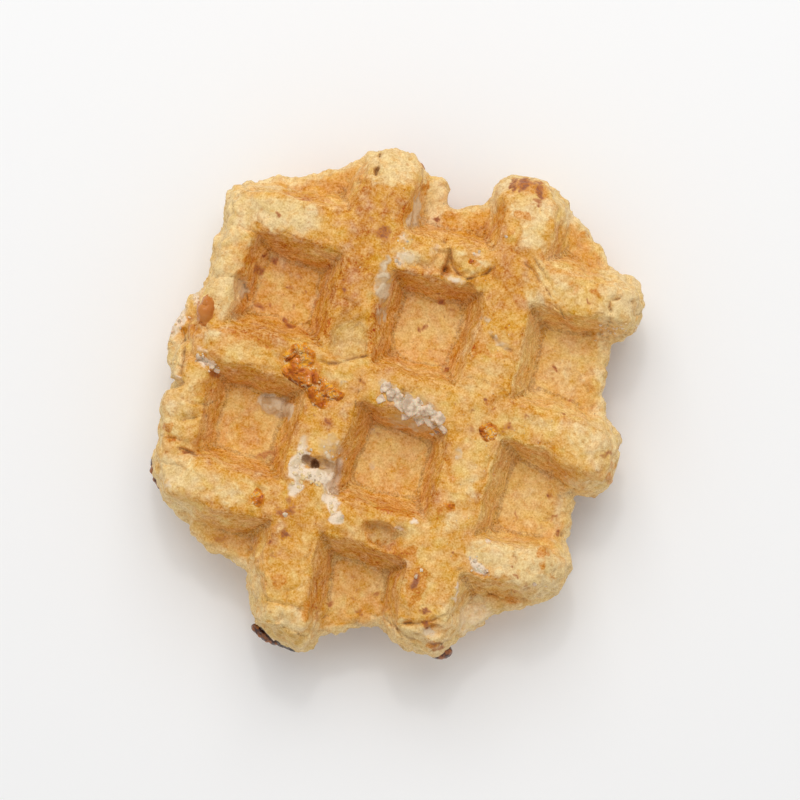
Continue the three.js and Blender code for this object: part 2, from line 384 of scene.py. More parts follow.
# %% The swellings and dimples
# x, y, half width, half length, turn in degrees, and how far the dough stands out there.
SWELLINGS = [
    (1.5, 31.0, 9.6, 4.6, 0, -1.5),  # torn lumps of the upper row, and the ground between them
    (-4.6, 31.0, 3.2, 2.8, 0, 1.3),
    (-0.6, 31.6, 2.2, 2.6, 0, 1.4),
    (5.9, 33.0, 2.0, 2.0, -20, 1.7),
    (9.4, 31.6, 3.6, 1.6, 25, 1.5),
    (6.4, 30.6, 1.6, 1.2, 20, 0.8),
    (4.0, 29.2, 1.2, 1.7, 0, -1.8),
    (6.2, 27.9, 2.8, 1.2, 5, 1.1),
    (11.4, 28.6, 2.0, 1.6, 0, 1.0),
    (15.6, 31.0, 2.6, 4.6, 0, 0.4),
    (25.5, 30.8, 6.0, 3.4, -35, 0.4),
    (37.5, 30.5, 6.5, 5.6, 0, 0.8),
    (-35.0, 31.0, 8.0, 4.5, 5, 0.5),
    (-11.5, 44.0, 6.4, 6.0, 0, 0.6),
    (17.5, 43.0, 5.6, 7.0, 0, 0.5),
    (13.4, 20.6, 1.6, 3.4, 0, -0.4),
    (18.2, 20.8, 3.0, 3.6, 0, 0.45),
    (16.8, 13.6, 4.0, 3.0, 0, 0.35),
    (38.5, 0.5, 6.5, 5.4, -20, 0.7),
    (37.0, -24.5, 6.5, 5.4, 0, 0.7),
    (26.5, -23.0, 3.4, 3.0, 0, 0.4),
    (-38.0, -24.0, 7.5, 5.6, -10, 0.6),
    (-41.5, -10.0, 4.4, 3.4, 0, 0.8),
    (-39.3, -4.0, 2.8, 3.8, 0, 1.2),
    (-38.4, -15.0, 4.0, 2.4, 15, 0.7),
    (-41.0, 16.0, 3.6, 6.0, 0, 0.4),
    (-39.0, 24.0, 4.4, 4.0, 0, 0.4),
    (-34.8, 15.0, 1.5, 3.0, 15, -1.3),
    (-40.6, 9.6, 1.7, 2.7, 8, 1.1),  # the browned blister
    (-40.6, 6.6, 0.9, 1.0, 0, 0.6),
    (20.2, -40.8, 2.4, 1.4, 20, -1.3),
    (14.8, -41.8, 2.6, 1.2, 5, 0.5),
    (-10.0, -46.2, 6.0, 2.2, 0, 0.6),
    (17.0, -36.5, 4.6, 3.4, 0, 0.3),
    (5.4, -25.2, 4.4, 2.8, -8, -1.8),  # the sunken place in the lower row
    (3.6, -25.6, 1.5, 1.2, 0, 0.6),
    (-2.0, -24.2, 3.4, 2.6, 0, 0.7),
    (5.0, 1.0, 7.6, 3.0, -12, -0.9),  # the bed of the sugar in the middle row
    (-18.8, 3.4, 4.2, 3.8, 0, -0.5),  # and those of the melted sugar
    (-13.4, -1.0, 3.4, 3.0, 10, -0.5),
    (-20.4, -24.2, 1.8, 2.6, 0, -0.4),
    (20.4, 0.4, 1.9, 2.3, 0, -0.4),
    (-9.6, 5.2, 1.9, 1.4, 0, 0.7),
    (-8.2, 22.3, 1.7, 4.8, 8, -0.7),
    (-22.6, -5.2, 4.2, 1.8, -5, 0.9),  # a glassy lump at the edge of a floor
    (-23.6, -6.0, 1.4, 1.0, 0, 0.8),
    (-10.8, -12.4, 4.0, 2.6, 0, 0.5),  # the lip of the torn hole
    (-10.6, -17.2, 3.6, 1.5, 8, 0.7),
    (-15.0, -15.0, 1.0, 2.6, 0, 0.5),
]
push = np.zeros(len(points))
for place_x, place_y, across, along, turn, height in SWELLINGS:
    push += upper * height * ellipse(x, y, place_x, place_y, across, along, turn)

# %% The crest that sank over melted sugar
# It sinks gradually from the crossing above it, and ends against the middle row like a step.
SINK = 2.4
uneven = 1.0 * wobble(points, 4.0, 12, 2)
bowl = ellipse(x + uneven, y - uneven, -11.4, 10.2, 5.2, 6.8, -10, 0, 0.35, 1.15)
lower_edge = y + 0.5 * uneven - 0.36 * (x + 14)
sunk = upper * smooth_step(z, MIDDLE + 7, MIDDLE + 10) * bowl * smooth_step(lower_edge, 5.4, 6.4)
push -= SINK * sunk

# %% Noise, strongest where no iron touched the dough
lumps = 1.5 * billow(points, 5.6, 1) + 0.7 * billow(points, 2.6, 2) + 0.16 * wobble(points, 1.3, 3, 2)
push += free * lumps
push += (1 - free) * (0.20 * wobble(points, 5.0, 4, 2) + 0.12 * wobble(points, 1.6, 5, 2))
push += (1 - free) * crest * (-0.25 + 0.8 * billow(points, 4.4, 6, 2) + 0.3 * wobble(points, 1.9, 7, 2))
ragged_rim = 1 - smooth_step(inset, 0.3, 2.0)
push += ragged_rim * 0.35 * wobble(points, 1.6, 8, 2)
push -= free * 0.45 * smooth_step(wobble(points, 1.5, 22), 0.3, 0.55)  # small pits where bubbles broke
# The iron was pulled off the walls, which left long low folds in them.
fibre_x = wobble(points, 1.0, 9, 2, (7, 1, 1))
fibre_y = wobble(points, 1.0, 9, 2, (1, 7, 1))
fibres = fibre_x * (1 - faces_x) + fibre_y * faces_x
push += walls * (1 - free) * 0.07 * fibres

# %% Torn crumb round the steam hole: grains and little bubbles
# x, y, half width, half length and turn.
TORN = [
    (-14.5, -15.4, 1.9, 4.4, 0),
    (-10.2, -17.0, 4.4, 1.6, 3),
    (-7.0, -17.6, 1.9, 2.7, 0),
    (-6.2, -14.2, 1.0, 2.6, 0),
    (-14.0, -20.2, 1.5, 2.6, -22),
    (-6.4, -20.8, 1.7, 2.8, 35),
    (-4.4, -23.6, 1.8, 1.8, 0),
]
torn = np.zeros(len(points))
torn_edge = 0.35 * wobble(points, 1.2, 10)
for place_x, place_y, across, along, turn in TORN:
    torn = np.maximum(torn, ellipse(x, y, place_x, place_y, across, along, turn, torn_edge))
torn *= upper * smooth_step(z, MIDDLE + 7, MIDDLE + 10)
push += torn * (0.5 * billow(points, 1.7, 11, 2) - 0.25)

# %% Moving the points
points += normals * push[:, None]
# The plates were never quite true, so the lines of the grid wander a little.
level = points * np.array([1, 1, 0.3])
for axis, seed in ((0, 13), (1, 14)):
    points[:, axis] += (0.45 + 0.3 * smooth_step(inset, 2, 6)) * wobble(level, 5.0, seed, 2)
x, y, z = points.T
# Where the cracks lie, and how deep, is kept for the painted shade in them.
crack_shade = np.zeros(len(points))
gaping = np.clip(0.75 + 1.0 * wobble(points, 2.2, 20), 0.25, 1)  # a crack opens and closes along its way
bend_x, bend_y = 0.35 * wobble(points, 1.6, 15), 0.35 * wobble(points, 1.6, 16)
for route, half_width, depth, lip in CRACKS:
    distance, side = beside(x + bend_x, y + bend_y, route)
    near = np.clip(1 - distance / half_width, 0, 1) * upper * gaping
    lifted = np.exp(-distance / 1.3) * (side * np.sign(lip) > 0) * upper
    points[:, 2] += smooth_step(z, MIDDLE, MIDDLE + FLOOR_RISE) * (abs(lip) * lifted - depth * near)
    crack_shade = np.maximum(crack_shade, near * min(1, depth))
# The little bay between the flash and the lower left lobe, the corner below it, the middle column's lower end
# (its underside stands out further than its top) and the shoulder of the upper row's right end.
# Each is x, y, half width, half length, turn, and how far the dough moves right and up.
BAYS = [
    (-43.6, -6.6, 2.6, 1.5, 0, 2.6, 0.6),
    (-43.4, -26.0, 4.0, 4.6, 35, 0.7, 0.7),
    (-11.0, -51.5, 6.0, 3.2, -10, 0.1, 1.6),
    (39.1, 38.8, 2.4, 2.2, 0, -0.1, -0.7),
    (36.0, 38.2, 1.9, 1.8, 0, 0.1, 0.4),
]
for place_x, place_y, across, along, turn, right, up in BAYS:
    inside = ellipse(x, y, place_x, place_y, across, along, turn) * smooth_step(z, MIDDLE - 4, MIDDLE + 1)
    points[:, 0] += right * inside
    points[:, 1] += up * inside

solid_low_mm, solid_high_mm = np.array(solid_low) / MM, np.array(solid_high) / MM
HEADROOM = (0, 0, 0.04)  # the crust's top stays this much below what may lie on it
SQUEEZED = 0.5  # the dough nearer than this to the box's top or bottom is flattened


def settle(depth):
    """Squeezes depths under SQUEEZED, so that a bulge flattens against the box's side and isn't cut off."""
    return np.where(depth > SQUEEZED, depth, SQUEEZED * np.exp(np.minimum(depth, SQUEEZED) / SQUEEZED - 1))


points[:, 2] = solid_low_mm[2] + settle(points[:, 2] - solid_low_mm[2])
points[:, 2] = solid_high_mm[2] - settle(solid_high_mm[2] - points[:, 2])
points = np.clip(points, solid_low_mm, solid_high_mm - HEADROOM)
write_points(crust_mesh, points)


def write_inside(mesh, points):
    """Writes the points, clipped to the solid's box."""
    write_points(mesh, np.clip(points, solid_low_mm, solid_high_mm))


shade_smooth(crust_mesh)
print("sculpted; the dough moved by up to", round(np.abs(push).max(), 2), "mm")

# %% [markdown]
# ## Painting masks on the points
#
# Colour follows what happened to the dough: how long the iron touched it, where sugar melted into it, and
# where it tore. Each of these is a mask, a number from 0 to 1 stored on every point as an attribute, and
# the material turns the masks into colour. Some follow from the shape, and the rest are painted with soft
# ellipses whose edges are bent by noise, so that none of them shows as an ellipse.
# Some masks also paint shade into creases, cracks, hollows and a few shaded slopes.

# %% Brushes for paint
# The lower face has its own paint: the upper one's, mirrored about the middle pockets.
normals = read_normals(crust_mesh)
x, y, z = points.T
upper = smooth_step(z, MIDDLE - 1, MIDDLE + 1)
warp_x = 0.9 * wobble(points, 2.2, 17, 3)
warp_y = 0.9 * wobble(points, 2.2, 18, 3)
masks = {}


def patch(place_x, place_y, across, along, turn, start, end):
    above = ellipse(x + warp_x, y + warp_y, place_x, place_y, across, along, turn, 0, start, end)
    mirrored = 2 * POCKET_X - x
    below = ellipse(mirrored + warp_x, y + warp_y, place_x, place_y, across, along, turn, 0, start, end)
    return upper * above + (1 - upper) * below


def wash(mask, ground, dabs):
    """Lays broad dabs (x, y, half width, half length, turn, value) one over the other on an even ground."""
    total = np.full(len(points), float(ground))
    for place_x, place_y, across, along, turn, value in dabs:
        cover = patch(place_x, place_y, across, along, turn, 0.3, 1.3)
        total += (value - total) * cover
    masks[mask] = total


def dab(mask, dabs, start=0.5, end=1.15):
    """Adds small dabs (x, y, half width, half length, turn, strength) to a mask."""
    total = masks.get(mask, np.zeros(len(points)))
    for place_x, place_y, across, along, turn, strength in dabs:
        total = np.maximum(total, strength * patch(place_x, place_y, across, along, turn, start, end))
    masks[mask] = total


# %% How brown the iron baked each place: 0 is yellow, 0.5 golden and 1 toasted
wash("bake", 0.28, [
    # floors
    (-26.0, 17.0, 8.0, 7.0, 0, 0.42),
    (-30.5, 16.0, 3.4, 6.0, 0, 0.55),
    (-28.0, 21.5, 6.0, 2.0, 0, 0.62),
    (3.2, 17.0, 7.4, 7.0, 0, 0.10),
    (5.0, 12.4, 3.4, 2.6, 0, 0.05),
    (33.0, 17.0, 8.0, 7.4, 0, 0.12),
    (-25.5, -10.5, 7.6, 7.2, 0, 0.24),
    (-26.0, -12.5, 4.4, 3.0, 0, 0.4),
    (-23.4, -16.0, 3.4, 2.0, 0, 0.16),
    (3.4, -10.6, 7.4, 7.2, 0, 0.08),
    (4.0, -10.9, 2.4, 2.0, 0, 0.5),
    (33.0, -10.5, 8.0, 7.4, 0, 0.10),
    (4.0, -38.0, 7.4, 6.0, 0, 0.20),
    (4.0, -43.0, 7.0, 2.6, 8, 0.36),
    (-25.5, 39.5, 8.0, 3.4, 12, 0.35),
    (-27.5, 36.6, 6.0, 1.4, 4, 0.85),
    (4.6, 40.0, 5.4, 4.2, 0, 0.60),
    # Painted shade: the next dab toasts the lower row's sunken place, which lies in shade.
    (5.6, -25.4, 3.2, 2.0, 0, 1.0),
    (28.5, 40.0, 6.0, 4.4, -35, 0.48),
    (-27.0, -33.5, 8.0, 3.4, 0, 0.40),
    # the middle column's crest, from the top
    (-12.0, 41.0, 5.4, 2.4, 0, 0.55),
    (-12.0, 36.6, 5.4, 4.0, 0, 0.62),
    (-11.6, 31.0, 5.6, 4.4, 0, 0.62),
    (-13.0, 25.0, 5.2, 4.6, 0, 0.76),
    (-14.0, 18.6, 4.4, 3.6, 0, 1.0),
    (-7.6, 15.4, 1.3, 4.4, 0, 0.95),
    (-17.6, 12.6, 1.3, 4.6, 0, 0.70),
    (-11.0, 4.6, 3.4, 2.0, 0, 0.24),
    (-13.4, 2.4, 3.4, 2.0, 0, 0.24),
    (-12.6, -6.4, 4.4, 3.6, 0, 0.72),
    (-10.8, -25.4, 6.0, 2.8, 0, 0.52),
    (-10.6, -19.6, 1.5, 2.4, 0, 0.35),
    (-11.5, -31.4, 5.0, 3.6, 0, 0.50),
    (-11.6, -37.4, 4.6, 3.6, 0, 0.30),
    # the right column's
    (17.0, 46.8, 5.4, 2.0, 0, 0.20),
    (17.4, 35.6, 4.6, 2.6, 0, 0.66),
    (16.4, 31.2, 5.0, 4.0, 0, 0.74),
    (17.6, 26.6, 4.6, 2.8, 0, 0.72),
    (18.4, 21.6, 3.6, 3.0, 0, 0.30),
    (13.6, 18.0, 1.2, 4.6, 0, 0.45),
    (3.2, 8.6, 7.4, 1.2, 0, 0.1),
    (16.8, 12.2, 4.0, 2.6, 0, 0.02),
    (17.0, 8.2, 4.4, 1.6, 0, 0.05),
    (15.4, 3.6, 4.0, 2.0, 0, 0.36),
    (17.4, -4.4, 4.0, 3.4, 0, 0.08),
    (18.0, -11.0, 3.4, 5.0, 0, 0.06),
    (12.6, -14.0, 0.9, 5.4, 0, 0.60),
    (18.0, -20.0, 3.4, 3.0, 0, 0.05),
    (17.0, -25.4, 5.0, 2.6, 0, 0.22),
    (17.8, -31.0, 3.6, 3.4, 0, 0.26),
    (18.2, -36.0, 3.4, 2.6, 0, 0.10),
    # the upper row's
    (-25.0, 30.6, 3.4, 2.0, 0, 0.34),
    (-20.6, 31.0, 3.0, 3.4, 0, 0.48),
    (-2.0, 30.6, 4.8, 2.8, 0, 0.24),
    (8.8, 32.4, 2.6, 1.4, 0, 0.30),
    (10.6, 28.6, 2.6, 1.4, 0, 0.45),
    (3.8, 29.0, 0.9, 1.4, 0, 1.2),
    (5.4, 33.4, 1.6, 1.6, 0, 0.10),
    # the middle row's
    (-38.4, 3.6, 3.0, 2.4, 0, 0.52),
    (-31.8, 3.0, 4.0, 2.0, 0, 0.04),
    (-27.4, 1.4, 2.6, 1.6, 0, 0.20),
    (-30.0, 6.6, 8.4, 0.9, 0, 0.74),
    (-2.4, 4.2, 3.2, 2.4, 0, 0.06),
    (4.6, 5.6, 4.6, 1.0, 0, 0.30),
    (10.4, 3.4, 2.8, 1.8, 0, 0.34),
    (25.0, 3.4, 4.4, 2.4, 0, 0.14),
    (32.0, 4.4, 4.4, 2.4, 0, 0.08),
    (31.0, 0.8, 7.0, 1.2, 0, 0.30),
    # the lower row's
    (-31.5, -25.0, 5.4, 3.0, 0, 0.10),
    (-24.0, -24.6, 2.6, 3.0, 0, 0.28),
    (-18.6, -25.6, 2.4, 3.0, 0, 0.40),
    (-3.4, -23.4, 3.4, 2.4, 0, 0.56),
    (0.8, -21.4, 2.0, 1.0, 0, 0.6),
    (10.6, -23.6, 3.0, 1.8, 0, 0.16),
    (9.6, -27.6, 3.4, 1.2, 0, 0.28),
    (26.0, -22.4, 4.0, 2.0, 0, 0.04),
    (30.0, -25.0, 3.4, 2.0, 0, 0.2),
])
floors = (1 - smooth_step(rise, FLOOR_RISE + 0.3, FLOOR_RISE + 1.2)) * (1 - free)
edges = smooth_step(-grid_hollow, 0.06, 0.12)
east = smooth_step(x, 7, 24)  # the walls are painted less brown from here to the right
masks["bake"] += (1 - free) * (walls * (0.16 - 0.38 * east) + 0.22 * edges) - 0.1 * floors + 0.08 * crest

# %% Pale dough that no iron browned
dab("pale", [
    (-31.0, 31.8, 9.6, 3.6, 3, 1.3),
    (-41.0, 28.0, 5.6, 7.0, 0, 1.4),
    (-2.0, 43.6, 2.8, 4.8, 0, 1.3),
    (17.0, 46.0, 6.0, 4.4, 0, 0.65),
    (33.0, 17.0, 7.0, 7.0, 0, 0.3),
    (33.0, -10.5, 7.0, 7.0, 0, 0.3),
    (-26.0, -24.8, 4.4, 2.6, 0, 0.8),
    (-44.8, -1.6, 2.8, 4.8, 0, 1.4),
    (-38.0, 4.6, 3.4, 2.4, 0, 0.5),
    (-40.5, 17.0, 5.0, 9.0, 0, 0.85),
    (-12.0, 47.0, 7.0, 4.6, 0, 1.0),
    (18.9, 41.4, 3.4, 5.4, 0, 0.85),
    (14.0, 44.4, 2.6, 1.6, 0, 0.7),
    (28.0, 31.5, 8.0, 3.6, -8, 0.75),
    (23.0, 27.8, 2.0, 4.4, 50, 0.7),
    (22.2, 33.6, 1.4, 4.0, 45, 0.8),
    (39.5, 31.0, 7.0, 6.5, 0, 1.0),
    (38.5, 20.0, 2.4, 7.0, 8, 0.7),
    (41.0, 10.0, 3.0, 6.0, 0, 0.8),
    (40.5, 3.6, 7.0, 6.0, -20, 0.8),
    (31.0, 4.6, 7.0, 2.4, 0, 0.55),
    (-26.6, 31.4, 4.8, 3.0, 0, 1.1),
    (-38.0, 3.6, 3.0, 2.4, 0, 0.4),
    (18.8, -9.0, 2.6, 6.0, 0, 0.5),
    (18.6, -18.0, 2.4, 3.0, 0, 0.5),
    (28.0, -23.0, 6.0, 3.4, 0, 1.1),
    (35.0, -23.5, 6.0, 5.6, 0, 1.1),
    (38.5, -24.0, 6.0, 5.5, 0, 0.9),
    (38.6, -10.0, 2.6, 6.0, 0, 0.6),
    (-37.0, -24.0, 8.0, 5.0, -4, 0.85),
    (-29.0, -22.6, 5.0, 1.4, 0, 0.5),
    (-41.0, -12.0, 5.4, 8.6, 0, 0.6),
    (-39.0, -5.6, 3.0, 4.0, 0, 0.6),
    (-9.5, -46.4, 8.0, 3.4, 0, 0.95),
    (-7.4, -39.4, 1.8, 4.0, 0, 0.5),
    (17.0, -42.6, 8.0, 3.0, 0, 0.9),
    (22.0, -37.0, 2.6, 4.4, -20, 0.7),
    (27.5, -36.5, 5.0, 6.0, -30, 1.4),
    (8.8, -41.8, 2.4, 1.4, 0, 0.9),
    (-31.5, 3.2, 3.4, 1.4, 0, 0.3),
    (5.6, 33.4, 1.4, 1.3, 0, 0.8),
    (6.0, 28.0, 2.4, 1.1, 5, 0.9),
    (9.0, 30.2, 2.6, 0.8, 25, 0.6),
    (-36.6, 14.6, 2.6, 8.0, 0, 1.0),
    (-35.6, 10.0, 1.6, 3.0, 0, 0.8),
    (9.6, 32.0, 3.0, 0.9, 25, 0.7),
    (-3.6, 30.0, 3.6, 2.0, 0, 0.8),
    (3.2, 8.6, 6.4, 1.0, 0, 0.35),
    (11.8, 17.0, 1.4, 6.0, 0, 0.45),
    (4.4, -1.8, 6.4, 1.6, 0, 0.7),
], 0.2, 1.35)
rim = 1 - smooth_step(inset + 0.5 * wobble(points, 2.4, 19), 0.6, 2.6)
outer_side = smooth_step(steep, 0.35, 0.75) * (1 - smooth_step(inset, 2.0, 4.5))
masks["pale"] = np.maximum(masks["pale"], np.maximum(0.7 * rim, 0.85 * outer_side)) + 0.12 * floors

# %% Amber stains of melted sugar, and scorched spots
dab("amber", [
    (15.4, 43.9, 2.2, 0.9, 5, 0.9),
    (14.5, 40.0, 1.6, 1.0, 0, 0.5),
    (11.6, 43.2, 1.2, 3.4, 0, 0.8),
    (16.0, 50.0, 4.6, 1.9, 0, 0.75),
    (18.6, 49.0, 0.9, 2.4, 0, 0.8),
    (28.8, 43.8, 1.6, 1.2, -40, 0.9),
    (33.0, 32.6, 1.6, 0.8, 0, 0.9),
    (29.0, 32.4, 1.7, 2.6, 0, 0.6),
    (8.8, 31.6, 1.7, 1.2, 0, 0.8),
    (13.8, 16.0, 1.6, 1.8, -10, 0.9),
    (16.0, 15.6, 2.0, 0.9, -10, 0.8),
    (19.2, 15.6, 1.9, 0.8, 0, 0.7),
    (19.2, 6.4, 1.0, 1.3, 0, 0.8),
    (14.3, -8.0, 0.8, 2.6, 10, 0.7),
    (15.6, -10.2, 1.4, 0.9, 0, 0.8),
    (16.8, -16.0, 1.9, 1.4, 30, 1.0),
    (14.8, -17.4, 0.8, 2.2, 20, 0.8),
    (10.4, -27.2, 3.2, 1.5, 10, 1.3),
    (7.0, -28.2, 1.2, 1.0, 0, 0.6),
    (4.6, -30.2, 1.6, 1.3, 0, 0.6),
    (6.6, -19.6, 4.4, 1.1, 0, 1.6),
    (9.6, -26.0, 1.0, 0.8, 0, 0.6),
    (37.0, -20.0, 1.6, 1.2, -30, 1.0),
    (37.6, -22.2, 0.8, 1.6, -20, 0.8),
    (40.4, -24.0, 0.9, 0.5, 0, 0.6),
    (25.5, -27.2, 2.2, 0.9, 10, 0.6),
    (33.6, -30.6, 2.0, 0.8, 10, 0.6),
    (46.0, -2.4, 1.2, 1.6, 20, 0.8),
    (45.6, 0.6, 1.0, 1.6, 0, 0.5),
    (-42.2, 4.6, 2.2, 1.9, -20, 1.0),
    (-41.6, -15.4, 1.6, 1.2, 20, 0.9),
    (-40.8, -17.4, 1.3, 1.0, 20, 0.9),
    (-44.0, -15.2, 1.2, 1.0, 0, 0.6),
    (-37.4, -5.8, 1.9, 2.4, 0, 0.5),
    (-38.6, -6.4, 1.0, 1.2, 0, 0.6),
    (-35.0, 21.4, 1.4, 1.4, 0, 0.9),
    (-35.6, 18.6, 1.0, 1.8, 0, 0.6),
    (-16.2, 12.4, 1.3, 2.4, 0, 0.9),
    (-7.0, 10.8, 0.9, 2.2, 0, 0.7),
    (-7.4, 35.6, 1.2, 6.0, -6, 0.7),
    (-17.6, 44.0, 0.9, 4.6, 8, 0.6),
    (-4.6, 45.4, 0.7, 2.6, -4, 0.7),
    (-12.4, -38.8, 2.4, 1.6, 0, 0.8),
    (-4.8, -42.2, 1.1, 3.6, -8, 0.9),
    (-20.6, -24.6, 2.6, 3.0, 0, 0.5),
    (-19.6, 4.0, 5.0, 3.4, 0, 0.7),
    (-13.0, -1.0, 4.6, 3.2, 0, 0.7),
    (14.4, -32.8, 2.2, 4.6, -8, 1.5),
    (18.8, -39.6, 1.8, 1.2, -20, 1.2),
    (20.4, -43.2, 1.6, 1.2, 0, 1.0),
    (-31.0, 6.0, 7.0, 0.9, -3, 1.0),
    (-19.0, 3.0, 5.4, 4.2, 0, 1.1),
    (-13.2, -1.0, 4.6, 4.0, 0, 1.1),
    (1.4, -23.2, 2.2, 1.0, -50, 0.6),
])
dab("scorch", [
    (14.3, 50.2, 1.1, 2.2, 0, 1.1),
    (12.2, 49.6, 0.9, 1.9, 0, 0.9),
    (18.0, 49.2, 1.0, 2.4, 10, 1.1),
    (16.0, 50.8, 2.4, 0.7, 0, 0.8),
    (14.3, -32.6, 0.8, 1.8, -20, 1.0),
    (18.4, -39.8, 1.4, 0.6, -20, 0.9),
    (17.2, 46.8, 1.0, 0.5, -30, 0.8),
    (-10.2, 33.0, 1.8, 2.2, 10, 0.8),
    (-13.2, 35.4, 1.0, 0.5, 30, 0.5),
    (-13.8, -24.6, 0.9, 1.6, -15, 0.8),
    (-15.0, -25.6, 1.5, 0.9, -15, 0.9),
    (-14.6, -23.2, 0.6, 0.9, 0, 0.6),
    (-13.6, -29.9, 0.6, 1.5, -25, 1.0),
    (-15.4, -32.6, 0.4, 0.7, 0, 0.8),
    (-15.0, -35.0, 0.3, 0.6, 0, 0.7),
    (-13.2, -39.0, 0.7, 0.7, 0, 0.5),
    (-32.6, 22.8, 0.6, 0.5, 0, 0.9),
    (-30.4, 22.8, 1.2, 0.6, -10, 0.9),
    (-33.0, 20.0, 0.8, 1.6, 25, 0.7),
    (-31.0, 13.0, 1.5, 0.8, -30, 0.8),
    (-29.0, 13.8, 0.7, 1.0, 0, 0.6),
    (-26.3, 18.3, 1.0, 0.7, 10, 0.6),
    (-22.6, 18.2, 0.8, 0.5, 20, 0.7),
    (-20.0, 16.4, 0.5, 0.7, 0, 0.6),
    (-24.8, 11.6, 0.6, 0.9, 30, 0.9),
    (-24.0, 10.7, 0.8, 0.6, -40, 0.9),
    (-24.2, 14.6, 0.5, 0.9, 0, 0.5),
    (-13.4, 24.7, 0.6, 0.5, 0, 1.0),
    (-15.2, 22.4, 0.6, 0.5, 0, 0.9),
    (-14.0, 20.2, 0.7, 0.8, 0, 0.9),
    (-31.2, 31.6, 0.7, 0.5, -20, 0.8),
    (-35.4, 30.0, 0.4, 1.2, 0, 0.4),
    (-26.8, 36.0, 0.9, 0.4, 0, 0.6),
    (1.4, 16.8, 0.5, 0.8, 0, 0.7),
    (2.4, 17.6, 0.9, 0.5, 40, 0.7),
    (4.5, 13.4, 0.6, 0.5, 0, 0.5),
    (6.6, 11.6, 0.9, 0.5, 0, 0.5),
    (8.6, 10.3, 0.9, 0.6, 20, 1.0),
    (4.3, 23.3, 0.8, 0.5, 0, 0.8),
    (6.6, 22.6, 1.4, 0.3, 5, 0.6),
    (3.3, 24.8, 0.6, 0.4, 0, 0.8),
    (2.2, 38.0, 0.6, 0.5, 0, 1.0),
    (-1.4, 39.6, 0.9, 0.8, 0, 0.9),
    (10.0, 38.0, 0.4, 1.6, 0, 0.5),
    (30.2, 16.3, 1.2, 0.6, -15, 1.0),
    (32.5, 16.8, 0.5, 0.4, 0, 0.5),
    (29.8, 14.2, 0.5, 0.4, 0, 0.4),
    (17.8, 6.2, 1.5, 0.4, -10, 1.0),
    (20.4, 5.2, 0.7, 0.4, -20, 0.9),
    (27.2, 5.2, 0.7, 0.5, 0, 0.6),
    (30.6, 5.4, 0.7, 0.4, 0, 0.4),
    (34.4, 10.6, 0.8, 0.3, 0, 0.9),
    (34.2, 7.6, 0.5, 0.4, 0, 0.9),
    (37.6, 8.8, 0.3, 0.3, 0, 0.9),
    (44.0, 2.0, 1.4, 0.7, 20, 0.6),
    (15.9, 3.4, 1.0, 0.6, 30, 0.5),
    (24.4, 2.2, 1.2, 0.7, -20, 0.7),
    (12.6, 3.9, 0.6, 0.6, 0, 0.5),
    (-10.8, -6.1, 0.8, 0.7, 0, 1.0),
    (-14.2, -5.4, 0.5, 0.4, 0, 0.6),
    (-11.4, -3.2, 0.5, 0.3, 0, 0.6),
    (-6.6, 3.4, 0.9, 0.6, -30, 0.7),
    (32.7, 30.2, 0.8, 0.4, 0, 0.7),
    (32.8, -25.9, 0.7, 0.5, 0, 0.9),
    (35.2, -27.0, 0.6, 0.6, 0, 0.6),
    (31.5, -24.0, 0.3, 0.5, 0, 0.8),
    (33.6, -28.8, 0.5, 0.6, 0, 0.7),
    (20.0, -24.5, 0.6, 0.3, -40, 0.9),
    (4.6, -40.8, 1.2, 0.6, -35, 0.8),
    (2.9, -39.0, 1.0, 0.4, -35, 0.7),
    (3.2, -36.9, 0.6, 0.4, 0, 0.5),
    (6.9, -36.4, 1.0, 0.7, -30, 0.6),
    (-1.6, -40.7, 1.9, 0.35, 5, 0.7),
    (1.6, -34.4, 0.5, 0.4, 0, 0.5),
    (-26.4, -33.9, 1.3, 1.0, 0, 0.5),
    (-21.9, -15.4, 2.4, 0.8, 25, 0.6),
    (-26.0, -10.6, 1.2, 0.5, 0, 0.4),
    (3.1, -3.3, 0.3, 0.25, 0, 1.0),
    (-0.9, -5.4, 0.4, 1.0, 5, 0.6),
    (30.0, -14.0, 0.5, 1.2, 20, 0.6),
    (35.5, -8.7, 0.7, 0.5, 0, 0.8),
    (37.4, -12.3, 0.6, 0.6, 0, 0.6),
    (35.6, -15.0, 0.8, 0.6, 0, 0.5),
    (38.8, -15.6, 0.6, 1.0, 30, 0.8),
    (20.4, 0.0, 1.2, 1.9, 10, 0.9),
    (22.9, 1.6, 1.0, 0.6, 0, 0.5),
    (17.4, 0.4, 0.6, 1.2, 0, 0.5),
    (21.4, -43.4, 2.0, 0.9, 10, 0.7),
    (17.6, -37.6, 2.2, 0.6, 20, 0.9),
    (-40.6, 9.2, 1.4, 2.6, 8, 0.55),
    (-40.4, 6.5, 0.8, 0.7, 0, 0.8),
    (-35.6, -2.7, 1.0, 0.8, 0, 0.8),
    (-37.2, -18.9, 1.6, 0.4, -8, 0.8),
])
